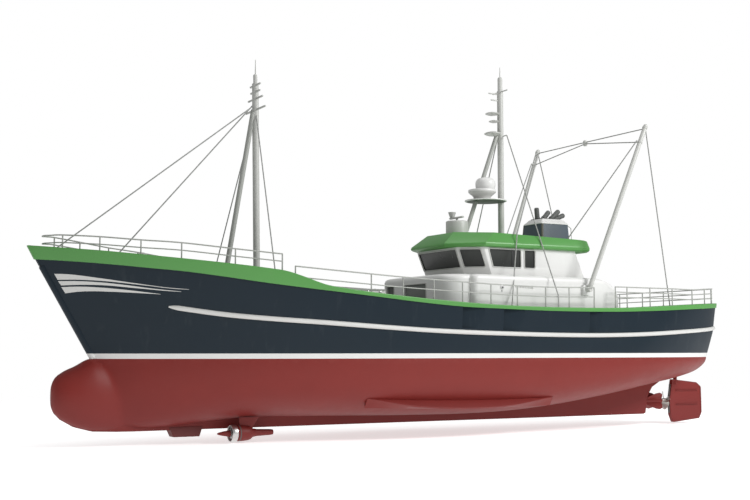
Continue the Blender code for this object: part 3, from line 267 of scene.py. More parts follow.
def sheer(x):
    return eased(SHEER, x)


def deck_height(x):
    return sheer(x) + DECK_RISE


def band_top(x):
    return eased(BAND_TOP, x)


def half_breadth(line, x):
    breadth = line.beam
    to_bow = (line.bow - x) / line.bow_run
    to_stern = (x - line.stern) / line.stern_run
    if to_bow < 1:
        breadth *= (1 - (1 - max(to_bow, 0)) ** line.bow_power) ** line.bow_shape
    if to_stern < 1:
        breadth *= (1 - (1 - max(to_stern, 0)) ** line.stern_power) ** line.stern_shape
    return hypot(breadth, END_HALF_WIDTH)


def stations(line):
    """Places along a waterline, closer together at its ends."""
    count = sizes().hull_stations
    return [line.stern + (line.bow - line.stern) * (1 - cos(pi * i / (count - 1))) / 2 for i in range(count)]


def topside_line(share):
    """The waterline at a share of the height from the water to the sheer."""
    line = Waterline(*(a + (b - a) * share for a, b in zip(WATER_LINE, DECK_LINE)))
    bow = line.bow
    for _ in range(6):
        bow = STEM_FOOT_X + STEM_RAKE * share * sheer(bow)
    return line._replace(bow=bow, stern=straight(STERN, share * sheer(-20.6)))


def topside_loop(share, outward=0.0, height=None):
    line = topside_line(share)
    line = line._replace(beam=line.beam + outward, bow=line.bow + outward, stern=line.stern - outward)
    points = []
    for x in stations(line):
        z = share * sheer(x) if height is None else height(x)
        points.append((x, half_breadth(line, x), z))
    return both_sides(points)


def side_breadth(x, z):
    """Half the breadth of the topsides at a place."""
    return half_breadth(topside_line(z / sheer(x)), x)


def body_breadth(x, z):
    bottom = eased(BOTTOM, x)
    if z <= bottom or x >= STEM_FOOT_X:
        return 0.0
    power = 2.6 - 0.7 * held((x - 1) / 11) - 0.5 * held((-8 - x) / 10)
    return half_breadth(WATER_LINE, x) * (1 - (z / bottom) ** power) ** (1 / power)


def bulb_part(x, column):
    return eased([(row[0], row[column]) for row in BULB], x)


def bulb_breadth(x, z):
    if not BULB[0][0] < x < BULB[-1][0]:
        return 0.0
    top = bulb_part(x, 1)
    bottom = bulb_part(x, 2)
    away = 2 * (z - bottom) / (top - bottom) - 1
    return max(bulb_part(x, 3), 0) * max(1 - away * away, 0) ** 0.5


def keel_breadth(x):
    aft = min((x - STERN_END_X) / 4, 1)
    fore = min(max((17.8 - x) / 3.5, 0.05), 1)
    return END_HALF_WIDTH + (SKEG_HALF_WIDTH - END_HALF_WIDTH) * aft if fore == 1 else SKEG_HALF_WIDTH * fore


def underwater_section(x, count):
    """Port points of the hull's section at x, from the waterline or the bulb's top down to the keel."""
    keel = keel_breadth(x)
    low = straight(OUTLINE, x)
    top = -0.0003
    foot = eased(BOTTOM, x)
    if x > STEM_FOOT_X:
        top = bulb_part(x, 1)
        foot = top
    if x > 14:
        foot = min(foot, bulb_part(x, 2))
    foot = max(foot, low + 0.02)
    points = []
    for i in range(count):
        z = top + (foot - top) * sin(pi / 2 * i / (count - 1))
        both = (body_breadth(x, z) ** 8 + bulb_breadth(x, z) ** 8) ** (1 / 8)
        points.append((x, max(both, keel), z))
    points.append((x, keel, low))
    return points


def both_sides(points):
    return [Vector((p[0], -p[1], p[2])) for p in points] + [Vector(p) for p in reversed(points)]


def mirrored(points):
    return [Vector((p[0], -p[1], p[2])) for p in points]


def turned_by(arm, angle):
    return Vector((arm.x * cos(angle) - arm.y * sin(angle), arm.x * sin(angle) + arm.y * cos(angle)))


def rounded(corners, steps=8):
    """A closed outline from (x, y, radius) corners, each corner turned into an arc."""
    outline = []
    count = len(corners)
    for i, (x, y, radius) in enumerate(corners):
        here = Vector((x, y))
        before = (Vector(corners[i - 1][:2]) - here).normalized()
        after = (Vector(corners[(i + 1) % count][:2]) - here).normalized()
        if radius <= 0:
            outline.append(here)
            continue
        half = before.angle(after) / 2
        centre = here + (before + after).normalized() * (radius / sin(half))
        first = here + before * (radius / tan(half)) - centre
        last = here + after * (radius / tan(half)) - centre
        sweep = first.angle_signed(last)
        for step in range(steps + 1):
            outline.append(centre + turned_by(first, -sweep * step / steps))
    return outline


def inset(outline, distance):
    """The outline moved inwards by distance. It runs anticlockwise."""
    moved = []
    count = len(outline)
    for i, point in enumerate(outline):
        before = (point - outline[i - 1]).normalized()
        after = (outline[(i + 1) % count] - point).normalized()
        normal = Vector((-before.y - after.y, before.x + after.x)).normalized()
        lean = max(normal.dot(Vector((-before.y, before.x))), 0.3)
        moved.append(point + normal * (distance / lean))
    return moved


def at_height(outline, z):
    return [Vector((p.x, p.y, z)) for p in outline]


def on_deck(outline):
    return [Vector((p.x, p.y, deck_height(p.x))) for p in outline]


# Nodes, for finishes and for repeated shapes.


class Nodes:
    """Adds nodes to one tree."""

    def __init__(self, tree):
        self.tree = tree
        tree.nodes.clear()

    def node(self, kind, settings=None, inputs=None, output=0):
        made = self.tree.nodes.new(kind)
        for key, value in (settings or {}).items():
            setattr(made, key, value)
        for key, value in (inputs or {}).items():
            if isinstance(value, Term):
                self.tree.links.new(value.out, made.inputs[key])
            else:
                made.inputs[key].default_value = value
        return Term(self, made.outputs[output]) if len(made.outputs) else None


class Term:
    """A node's output that takes part in Python expressions."""

    def __init__(self, nodes, out):
        self.nodes = nodes
        self.out = out

    def maths(self, operation, *values):
        return self.nodes.node("ShaderNodeMath", {"operation": operation}, dict(enumerate(values)))

    def __add__(self, other):
        return self.maths("ADD", self, other)

    __radd__ = __add__

    def __sub__(self, other):
        return self.maths("SUBTRACT", self, other)

    def __rsub__(self, other):
        return self.maths("SUBTRACT", other, self)

    def __mul__(self, other):
        return self.maths("MULTIPLY", self, other)

    __rmul__ = __mul__

    def __truediv__(self, other):
        return self.maths("DIVIDE", self, other)

    def __pow__(self, other):
        return self.maths("POWER", self, other)

    def between(self, low, high):
        """0 at low, 1 at high, smooth and held outside them."""
        return self.nodes.node(
            "ShaderNodeMapRange", {"interpolation_type": "SMOOTHSTEP"}, {0: self, 1: low, 2: high, 3: 0.0, 4: 1.0})


class Finish(Nodes):
    """One material, its pattern placed by Object coordinates."""

    def __init__(self, name):
        self.material = bpy.data.materials.new(name)
        self.material.use_nodes = True
        super().__init__(self.material.node_tree)
        self.place = self.node("ShaderNodeTexCoord", output="Object")
        parts = self.node("ShaderNodeSeparateXYZ", inputs={0: self.place}).out.node.outputs
        self.x, self.y, self.z = [Term(self, out) for out in parts]

    def noise(self, scale, detail, stretch=(1, 1, 1)):
        place = self.node("ShaderNodeMapping", inputs={"Vector": self.place, "Scale": stretch})
        return self.node(
            "ShaderNodeTexNoise", inputs={"Vector": place, "Scale": scale, "Detail": detail, "Roughness": 0.55})

    def mix(self, share, first, second):
        first, second = [value if isinstance(value, Term) else (*value, 1) for value in (first, second)]
        return self.node("ShaderNodeMix", {"data_type": "RGBA"}, {0: share, 6: first, 7: second}, 2)

    def tinted(self, colour, amount):
        """The colour made lighter or darker by amount, a value around 1."""
        return self.node("ShaderNodeVectorMath", {"operation": "SCALE"}, {0: tuple(colour), "Scale": amount})

    def bump(self, height, distance, strength=1.0, normal=None):
        inputs = {"Height": height, "Distance": distance, "Strength": strength}
        if normal is not None:
            inputs["Normal"] = normal
        return self.node("ShaderNodeBump", inputs=inputs)

    def close(self, base, roughness, normal, **constants):
        """Ends the material in a Principled BSDF."""
        inputs = {"Base Color": base, "Roughness": roughness, "Normal": normal}
        inputs.update((key.replace("_", " "), value) for key, value in constants.items())
        shader = self.node("ShaderNodeBsdfPrincipled", inputs=inputs)
        self.node("ShaderNodeOutputMaterial", inputs={"Surface": shader})
        return self.material


def plain_paint(name, colour, roughness, mottle, grain=0.0004, coat=0.0, dirt=0.0):
    """Brushed or sprayed paint: slow tone changes, fine orange peel, faint run-down dirt."""
    f = Finish(name)
    tone = 1 - mottle / 2 + f.noise(0.9, 4) * mottle
    base = f.tinted(colour, tone)
    if dirt:
        streak = f.noise(2.2, 5, stretch=(1.6, 1.6, 0.18)).between(0.55, 0.8) * dirt
        base = f.mix(streak, base, (0.2, 0.18, 0.14))
    peel = f.bump(f.noise(38, 2), grain, 0.35)
    dents = f.bump(f.noise(1.4, 2), grain * 8, 0.3, peel)
    rough = roughness - 0.05 + f.noise(3.5, 4) * 0.1
    return f.close(base, rough, dents, Coat_Weight=coat, Coat_Roughness=0.2)


def make_topsides_paint():
    """Dark paint with the white waterline stripe, faint plate seams and frames showing through."""
    f = Finish("topsides_paint")
    c = colours()
    stripe = 1 - f.z.between(sizes().stripe_height - 0.008, sizes().stripe_height + 0.008)
    tone = 0.93 + f.noise(0.5, 4) * 0.14
    dark = f.tinted(c.topsides, tone)
    salt = f.noise(1.8, 5, stretch=(1.2, 1.2, 0.25)).between(0.56, 0.85) * 0.05
    dark = f.mix(salt, dark, (0.30, 0.31, 0.31))
    white = f.tinted(c.house, 0.97 + f.noise(2.0, 3) * 0.05)
    base = f.mix(stripe, dark, white)
    frames = f.x / 0.6
    seam_x = 1 - frames.maths("PINGPONG", frames, 0.5).between(0.0, 0.06)
    plates = f.noise(0.8, 2) * 0.7 + f.noise(0.28, 2)
    normal = f.bump(plates, 0.02, 0.35, f.bump(seam_x, 0.0015, 0.35, f.bump(f.noise(30, 2), 0.0004)))
    rough = 0.34 + f.noise(1.2, 4) * 0.12 + stripe * 0.08
    return f.close(base, rough, normal, Specular_IOR_Level=0.24)


def make_bottom_paint():
    """Matt antifouling, darker towards the keel as painted shade, with roller marks and soft waterline wear."""
    f = Finish("bottom_paint")
    c = colours()
    tone = 0.90 + f.noise(0.6, 5) * 0.16 + f.noise(6.0, 4, stretch=(0.4, 1, 2)) * 0.06
    base = f.tinted(c.bottom, tone)
    # Painted shade: the red turns darker towards the keel, below z -1.2.
    low = 1 - f.z.between(-3.2, -1.2)
    base = f.mix(low * 0.25, base, (0.12, 0.028, 0.03))
    wash = f.z.between(-0.35, 0.0) * f.noise(3.0, 4).between(0.4, 0.8) * 0.25
    base = f.mix(wash, base, (0.25, 0.06, 0.05))
    plates = f.noise(0.7, 2)
    normal = f.bump(plates, 0.02, 0.3, f.bump(f.noise(26, 3), 0.0012, 0.6))
    return f.close(base, 0.42 + f.noise(2.0, 4) * 0.16, normal, Specular_IOR_Level=0.3)


def make_deck_paint():
    """Non-slip paint: coarse grit, worn paths and plate seams."""
    f = Finish("deck_paint")
    grit = f.noise(55, 3)
    tone = 0.85 + f.noise(0.9, 5) * 0.3
    base = f.tinted(colours().deck, tone)
    worn = f.noise(0.7, 5).between(0.55, 0.75) * 0.25
    base = f.mix(worn, base, (0.30, 0.31, 0.28))
    across = (f.x / 1.5).maths("PINGPONG", f.x / 1.5, 0.5)
    along = (f.y / 1.5).maths("PINGPONG", f.y / 1.5, 0.5)
    seam = across.maths("MAXIMUM", 1 - across.between(0, 0.012), 1 - along.between(0, 0.012))
    base = f.mix(seam * 0.4, base, (0.08, 0.10, 0.08))
    normal = f.bump(seam, 0.003, 0.6, f.bump(grit, 0.0015))
    return f.close(base, 0.62 + grit * 0.2, normal)


def make_bare_steel(name, colour, roughness):
    """Ground metal with fine turning marks and a slight stain."""
    f = Finish(name)
    marks = f.noise(60, 3, stretch=(3, 0.6, 0.6))
    base = f.tinted(colour, 0.85 + f.noise(4, 4) * 0.25)
    return f.close(base, roughness + marks * 0.15, f.bump(marks, 0.0006), Metallic=1.0)


def make_glass():
    """Dark window glass, lighter from sill to head as a painted reflection."""
    f = Finish("window_glass")
    # Painted reflection: the glass grows lighter from the sill up to the head.
    tone = 0.8 + f.z.between(4.5, 5.5) * 0.5 + f.noise(1.5, 2) * 0.15
    return f.close(f.tinted(colours().glass, tone), 0.22 + f.noise(3, 3) * 0.08, f.bump(f.noise(0.9, 1), 0.004, 0.2),
                   Specular_IOR_Level=0.35)


def make_wire_finish():
    """Laid wire: strands across the lay."""
    f = Finish("stay_wire")
    turns = (f.x + f.y + f.z) * 60
    lay = turns.maths("SINE", turns) * 0.5 + 0.5
    base = f.mix(lay, (0.255, 0.25875, 0.2475), (0.34, 0.345, 0.33))
    return f.close(base, 0.5 + lay * 0.15, f.bump(lay, 0.003))


def make_floor_finish():
    """Pale floor that fades out far from the trawler."""
    f = Finish("studio_floor")
    away = (f.x * f.x + f.y * f.y) ** 0.5
    shown = 1 - away.between(22.0, 60.0)
    tone = 0.98 + f.noise(0.2, 2) * 0.04
    pale = f.node("ShaderNodeBsdfDiffuse", inputs={"Color": f.tinted((0.86, 0.86, 0.86), tone)})
    glow = f.node("ShaderNodeEmission", inputs={"Color": (1, 1, 1, 1), "Strength": 0.62})
    both = f.node("ShaderNodeAddShader", inputs={0: pale, 1: glow})
    clear = f.node("ShaderNodeBsdfTransparent")
    faded = f.node("ShaderNodeMixShader", inputs={0: shown, 1: clear, 2: both})
    f.node("ShaderNodeOutputMaterial", inputs={"Surface": faded})
    return f.material


FINISHES = {
    "topsides": make_topsides_paint,
    "bottom": make_bottom_paint,
    "green": lambda: plain_paint("green_gloss", colours().trim, 0.42, 0.08, coat=0.1, dirt=0.06),
    "white": lambda: plain_paint("white_gloss", colours().house, 0.42, 0.04, dirt=0.05),
    "stripe": lambda: plain_paint("white_stripe", (0.60, 0.60, 0.58), 0.45, 0.05, dirt=0.04),
    "grey": lambda: plain_paint("grey_paint", colours().metal, 0.38, 0.08, dirt=0.06),
    "pale": lambda: plain_paint("pale_paint", (0.50, 0.505, 0.48), 0.4, 0.06, dirt=0.05),
    "panel": lambda: plain_paint("panel_grey", (0.16, 0.17, 0.16), 0.5, 0.1),
    "funnel": lambda: plain_paint("funnel_blue", (0.05, 0.075, 0.10), 0.4, 0.06, dirt=0.05),
    "band": lambda: plain_paint("funnel_corner", (0.13, 0.12, 0.10), 0.5, 0.1),
    "dark": lambda: plain_paint("dark_metal", (0.09, 0.095, 0.09), 0.55, 0.15, grain=0.0008),
    "sounder": lambda: plain_paint("sounder_red", (0.11, 0.013, 0.011), 0.55, 0.12, grain=0.0008),
    "black": lambda: plain_paint("black_rubber", (0.012, 0.013, 0.014), 0.6, 0.1),
    "soot": lambda: plain_paint("exhaust_soot", (0.10, 0.105, 0.10), 0.6, 0.3, grain=0.001),
    "deck": make_deck_paint,
    "steel": lambda: make_bare_steel("bright_steel", (0.62, 0.62, 0.61), 0.28),
    "bronze": lambda: make_bare_steel("propeller_metal", (0.60, 0.59, 0.56), 0.3),
    "glass": make_glass,
    "wire": make_wire_finish,
    "floor": make_floor_finish,
}
MADE = {}


def finish(name):
    if name not in MADE:
        MADE[name] = FINISHES[name]()
    return MADE[name]


SLOTS = {
    "topsides": "navy_paint", "funnel": "navy_paint", "bottom": "red_antifouling", "green": "green_paint",
    "white": "white_paint", "stripe": "white_paint", "grey": "grey_paint", "pale": "grey_paint", "dark": "dark_metal",
    "sounder": "dark_metal", "soot": "dark_metal", "steel": "bare_steel", "bronze": "bare_steel", "glass": "dark_glass",
    "deck": "deck_paint",
}


# Meshes.


class Form:
    """Collects shapes as one mesh, each face with the finish in force when it was added."""

    def __init__(self, *finishes):
        self.finishes = list(finishes)
        self.points = []
        self.faces = []
        self.kinds = []
        self.kind = 0

    def use(self, name):
        if name not in self.finishes:
            self.finishes.append(name)
        self.kind = self.finishes.index(name)
        return self

    def put(self, points, faces):
        start = len(self.points)
        self.points += [Vector(p) for p in points]
        for face in faces:
            self.faces.append([start + i for i in face])
            self.kinds.append(self.kind)
        return self

    def loft(self, rows, caps=True, ring=False, strips=False, closed=True):
        """A skin over rows of points. With strips, an end is filled by strips across the middle."""
        count = len(rows[0])
        faces = []
        for r in range(len(rows) if ring else len(rows) - 1):
            low = r * count
            high = (r + 1) % len(rows) * count
            for i in range(count if closed else count - 1):
                j = (i + 1) % count
                faces.append((low + i, low + j, high + j, high + i))
        for low in () if ring or not caps else (0, (len(rows) - 1) * count):
            if strips:
                for i in range(count // 2 - 1):
                    faces.append((low + i, low + i + 1, low + count - 2 - i, low + count - 1 - i))
            else:
                faces.append(range(low, low + count))
        return self.put([p for row in rows for p in row], faces)

    def tube(self, path, radius, sides=12, round_ends=False):
        """A pipe along points. The radius is one number or one for each point."""
        path = [Vector(p) for p in path]
        radii = list(radius) if isinstance(radius, (list, tuple)) else [radius] * len(path)
        if round_ends:
            first = (path[0] - path[1]).normalized()
            last = (path[-1] - path[-2]).normalized()
            r0, r1 = radii[0], radii[-1]
            head = [(path[0] + first * r0 * sin(a), r0 * cos(a)) for a in (1.4, 1.0, 0.5)]
            tail = [(path[-1] + last * r1 * sin(a), r1 * cos(a)) for a in (0.5, 1.0, 1.4)]
            path = [p for p, _ in head] + path + [p for p, _ in tail]
            radii = [r for _, r in head] + radii + [r for _, r in tail]
        rows = []
        along = (path[1] - path[0]).normalized()
        side = along.orthogonal().normalized()
        for i, point in enumerate(path):
            before = (point - path[max(i - 1, 0)]).normalized()
            after = (path[min(i + 1, len(path) - 1)] - point).normalized()
            along = (before + after).normalized()
            side = (side - along * side.dot(along)).normalized()
            other = along.cross(side)
            rows.append([point + (side * cos(a) + other * sin(a)) * radii[i] for a in around(sides)])
        self.loft(rows)

    def box(self, low, high):
        """A box between two corners."""
        points = [(x, y, z) for x in (low[0], high[0]) for y in (low[1], high[1]) for z in (low[2], high[2])]
        return self.put(points, ((0, 1, 3, 2), (4, 6, 7, 5), (0, 4, 5, 1), (2, 3, 7, 6), (0, 2, 6, 4), (1, 5, 7, 3)))

    def spun(self, profile, centre, sides=32, axis=UP):
        """A turned shape: profile is (radius, distance along the axis) pairs."""
        turn = Vector(axis).to_track_quat("Z", "Y")
        centre = Vector(centre)
        self.loft([[centre + turn @ Vector((radius * cos(a), radius * sin(a), height)) for a in around(sides)]
                   for radius, height in profile])

    def mesh(self, name):
        mesh = bpy.data.meshes.new(name)
        mesh.from_pydata(self.points, [], self.faces)
        mesh.polygons.foreach_set("material_index", self.kinds)
        for kind in self.finishes:
            mesh.materials.append(finish(kind))
        shape = bmesh.new()
        shape.from_mesh(mesh)
        bmesh.ops.recalc_face_normals(shape, faces=shape.faces)
        shape.to_mesh(mesh)
        shape.free()
        return mesh

    def make(self, name, body="hull", replaces=(), bevel=0.0, angle=35, cutters=()):
        """The finished piece, its edges smooth below angle degrees."""
        obj = show(name, self.mesh(name))
        for cutter in cutters:
            carve(obj, cutter)
        if bevel:
            soften(obj, bevel)
        settle(obj, angle)
        seat(obj, body, replaces)

    def skin(self, node, body="hull", **options):
        """The finished piece that takes a solid's place."""
        self.make(node + "_skin", body, (node,), **options)


def show(name, mesh):
    obj = bpy.data.objects.new(name, mesh)
    bpy.context.scene.collection.objects.link(obj)
    return obj


def bake(obj):
    """Turns an object's live modifiers into plain mesh."""
    graph = bpy.context.evaluated_depsgraph_get()
    graph.update()
    mesh = bpy.data.meshes.new_from_object(obj.evaluated_get(graph))
    old = obj.data
    obj.modifiers.clear()
    obj.data = mesh
    bpy.data.meshes.remove(old)
    return obj


def carve(obj, cutter):
    """Cuts a Form out of an object."""
    tool = show("cutter", cutter.mesh("cutter"))
    modifier = obj.modifiers.new("Cut", "BOOLEAN")
    modifier.operation = "DIFFERENCE"
    modifier.solver = "EXACT"
    modifier.object = tool
    bake(obj)
    bpy.data.objects.remove(tool)


def soften(obj, width):
    modifier = obj.modifiers.new("Soft edges", "BEVEL")
    modifier.width = width
    modifier.segments = 2
    modifier.limit_method = "ANGLE"
    modifier.angle_limit = radians(28)
    bake(obj)


def settle(obj, angle):
    obj.data.shade_smooth()
    obj.data.set_sharp_from_angle(angle=radians(angle))


def seat(obj, body, replaces=()):
    """Lets a finished piece ride on its body and stand for the solids it replaces."""
    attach(obj, body)
    if replaces:
        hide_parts(*replaces)
    slot = SLOTS.get(next((k for k, m in MADE.items() if m == obj.data.materials[0]), ""))
    return obj


# Hull.


def make_bottom():
    xs = []
    for a, b in zip(SECTIONS, SECTIONS[1:]):
        xs += spaced(a, b, max(2, round((b - a) / 0.16)) + 1)[:-1]
    xs.append(SECTIONS[-1])
    form = Form("bottom")
    form.loft([both_sides(underwater_section(x, 36)) for x in xs], strips=True)
    form.tube([(RUDDER_X, 0, -0.6), (RUDDER_X, 0, -1.10), (RUDDER_X, 0, -1.17)], [0.19, 0.165, 0.16], 32)
    for side in (1, -1):
        form.loft([bilge_keel_section(side, x) for x in spaced(3.9, -7.0, 61)])
    form.skin("hull_bottom", angle=24)


def bilge_keel_section(side, x):
    z = eased(BILGE_KEEL_HEIGHT, x)
    reach = eased(BILGE_KEEL_REACH, x)
    thick = 0.02 + 0.04 * min(reach / 0.3, 1)
    y = body_breadth(x, z)
    section = ((y - 0.25, z + 0.12), (y + reach - 0.02, z - reach + 0.02), (y + reach, z - reach - 0.01),
               (y + reach - thick, z - reach - thick), (y - 0.25, z - 0.45))
    return [Vector((x, side * p, q)) for p, q in section]


def make_topsides():
    """The sides with their pockets, deep at the forward edge and flush at the after edge, and the stem bar."""
    form = Form("topsides")
    form.loft([topside_loop(s) for s in spaced(0, 1, 21)], strips=True)
    cutters = []
    for side in (1, -1):
        for aft, fore, low in POCKETS:
            plan = [Vector((x, side * y)) for x, y in ((fore, 4.16), (fore, 5), (aft, 5), (aft, 4.38))]
            cutters.append(Form("topsides").loft([at_height(plan, low), at_height(plan, 3.4)]))
    form.skin("topsides", cutters=cutters, angle=30)
    foot, head = [Vector((STEM_FOOT_X + STEM_RAKE * z - 0.17, 0, z)) for z in (0.05, 4.05)]
    bar = Form("topsides")
    bar.tube([foot.lerp(head, t) for t in spaced(0, 1, 21)], 0.20, 32)
    bar.make("stem_bar")


def make_sweeps():
    """The three white painted sweeps on each bow, a film over the topsides."""
    form = Form("stripe")
    for side in (1, -1):
        for edges in SWEEPS:
            high, low = [[Vector((x, eased(edge[::-1], x))) for x in spaced(edge[0][0], edge[-1][0], 41)]
                         for edge in edges]
            rows = [[a.lerp(b, t) for t in spaced(0, 1, 7)] for a, b in zip(high, low)]
            form.loft([[(p.x, side * (side_breadth(p.x, p.y) + 0.004), p.y) for p in row] for row in rows],
                      caps=False, closed=False)
    obj = show("bow_sweeps", form.mesh("bow_sweeps"))
    modifier = obj.modifiers.new("Film", "SOLIDIFY")
    modifier.thickness = 0.006
    modifier.offset = -1
    bake(obj)
    settle(obj, 35)
    seat(obj, "hull")


def inner_plan(extra):
    """The bulwark band's inner face in plan, moved inwards by extra."""
    inward = BAND_WIDTH + extra
    line = DECK_LINE._replace(
        beam=DECK_LINE.beam - inward, bow=DECK_LINE.bow - 0.9 - extra, stern=DECK_LINE.stern + inward)
    return both_sides([(x, half_breadth(line, x) - extra, 0.0) for x in stations(line)])


def soft_corner(before, corner, after, radius):
    """Points of a rounded corner between two neighbours."""
    start = corner + (before - corner).normalized() * min(radius, (before - corner).length * 0.45)
    end = corner + (after - corner).normalized() * min(radius, (after - corner).length * 0.45)
    return [start * (1 - t) ** 2 + corner * 2 * t * (1 - t) + end * t * t for t in spaced(0, 1, 5)]


def make_band():
    """The green bulwark band, its top edges rounded."""
    low = topside_loop(1.0, BAND_PROUD, lambda x: sheer(x) - 0.03)
    flared = topside_loop(1.13, BAND_PROUD, band_top)
    inner = inner_plan(0.0)
    sections = []
    for a, b, c in zip(low, flared, inner):
        high = a.lerp(b, (band_top(b.x) - sheer(b.x)) / (0.13 * sheer(b.x)))
        high.z = band_top(high.x)
        inner_high = Vector((c.x, c.y, band_top(c.x)))
        inner_low = Vector((c.x, c.y, sheer(c.x) - 0.03))
        sections.append([a, *soft_corner(a, high, inner_high, 0.05), *soft_corner(high, inner_high, inner_low, 0.04),
                         inner_low])
    form = Form("green").loft(list(zip(*sections)), ring=True)
    form.skin("bulwark_band", angle=40)


def make_deck():
    plan = inner_plan(0.001)
    form = Form("deck")
    low = [Vector((p.x, p.y, sheer(p.x) - 0.03)) for p in plan]
    form.loft([low, on_deck(plan)], strips=True)
    form.skin("deck")


def make_strakes():
    radius = sizes().strake_radius
    for side, node in ((1, "rubbing_strake_port"), (-1, "rubbing_strake_starboard")):
        path = []
        for x in spaced(13.30, -18.5, 160) + spaced(-18.7, -20.40, 40):
            z = eased(STRAKE_HEIGHT, x)
            path.append(Vector((x, side * side_breadth(x, z), z)))
        radii = [radius * min(1, (0.12 + i * 0.5) ** 0.5, (0.12 + (len(path) - 1 - i) * 0.6) ** 0.5)
                 for i in range(len(path))]
        form = Form("stripe")
        form.tube(path, radii, 20)
        form.skin(node, angle=60)


class MakeHull(bpy.types.Operator):
    """Smooth underwater hull, topsides, stem bar and deck"""

    bl_idname = "trawler.hull"
    bl_label = "Hull and deck"

    def execute(self, context):
        make_bottom()
        make_topsides()
        make_deck()
        return {"FINISHED"}


class MakeBandsAndStripes(bpy.types.Operator):
    """Green bulwark band, white strakes and painted sweeps"""

    bl_idname = "trawler.bands"
    bl_label = "Bands and stripes"

    def execute(self, context):
        make_band()
        make_strakes()
        make_sweeps()
        return {"FINISHED"}


# Underwater gear.


def blade_rows(reach, chord, twist, thick, sweep, rounding=0.5):
    """Sections of a propeller blade that stands along +Z on a shaft along X."""
    rows = []
    for share in spaced(0, 1, 15):
        width = chord * (0.42 + 0.62 * sin(pi * min(share * 0.78 + 0.12, 1))) * max(1 - share**6, 0.05) ** rounding
        turn = twist * (1 - 0.45 * share)
        lean = sweep * share * share
        row = []
        for a in around(16):
            along = width / 2 * cos(a) + lean
            off = thick * (1 - 0.7 * share) * sin(a) * 0.5
            row.append(Vector((along * sin(turn) + off * cos(turn), along * cos(turn) - off * sin(turn),
                               reach * share)))
        rows.append(row)
    return rows


def add_turned(form, centre, angle, rows):
    """Adds a blade or fin, turned by angle about a shaft along X."""
    turn = Matrix.Rotation(angle, 3, "X")
    form.loft([[centre + turn @ p for p in row] for row in rows])


def make_propeller():
    form = Form("bronze")
    centre = Vector((PROPELLER_X, 0, SHAFT_Z))
    form.spun(((0.06, 0.281), (0.118, 0.279), (0.125, 0.2), (0.125, -0.08), (0.11, -0.14), (0.06, -0.20),
               (0.01, -0.22)), centre, 40, AHEAD)
    rows = blade_rows(0.52, 0.46, radians(52), 0.05, 0.10)
    for i in range(4):
        add_turned(form, centre + Vector((0.02, 0, 0)), radians(20 + 90 * i), rows)
    form.skin("propeller", "propeller", angle=40)


def make_stern_tube():
    form = Form("bottom")
    form.tube([(-15.9, 0, SHAFT_Z), (-17.3, 0, SHAFT_Z), (-17.5, 0, SHAFT_Z)], [0.16, 0.14, 0.13], 32)
    outline = ((-17.42, 0.0), (-16.05, 0.0), (-16.15, 0.16), (-16.4, 0.40), (-16.72, 0.60), (-16.98, 0.66),
               (-17.22, 0.56), (-17.36, 0.34), (-17.42, 0.12))
    fin = [[Vector((-16.8 + (x + 16.8) * shrink, y, z * shrink)) for x, z in outline]
           for y, shrink in ((-0.025, 0.93), (-0.012, 1.0), (0.012, 1.0), (0.025, 0.93))]
    for i in range(4):
        add_turned(form, Vector((0, 0, SHAFT_Z)), radians(45 + 90 * i), fin)
    form.use("steel")
    form.spun(((0.12, 0.0), (0.175, 0.0), (0.175, 0.05), (0.12, 0.05)), (-16.16, 0, SHAFT_Z), 32, ASTERN)
    form.skin("stern_tube", angle=30)


def make_rudder():
    outline = [(-18.31, -1.30, 0.06), (-20.2, -1.50, 0.18), (-20.55, -1.75, 0.16), (-20.58, -3.24, 0.12),
               (-20.38, -3.60, 0.12), (-18.34, -3.78, 0.10), (-18.13, -3.34, 0.12), (-18.08, -2.50, 0.5)]
    path = rounded(outline, 5)
    middle = Vector((-19.3, -2.5))
    form = Form("bottom").loft([
        [Vector((q.x, y, q.y)) for q in (p.lerp(middle, shrink) for p in path)]
        for y, shrink in ((-0.06, 0.06), (-0.105, 0.015), (-0.12, 0.0), (0.12, 0.0), (0.105, 0.015), (0.06, 0.06))])
    form.tube([(RUDDER_X, 0, -1.6), (RUDDER_X, 0, -1.171)], 0.11, 28)
    form.use("dark")
    form.tube([(-18.20, 0, -1.62), (-18.115, 0, -2.4), (-18.10, 0, -3.2)], 0.055, 16, True)
    form.use("bottom")
    for z in (-1.95, -2.75):
        form.box((-20.3, -0.128, z - 0.02), (-18.6, 0.128, z + 0.02))
    form.skin("rudder", "rudder", bevel=0.012, angle=35)


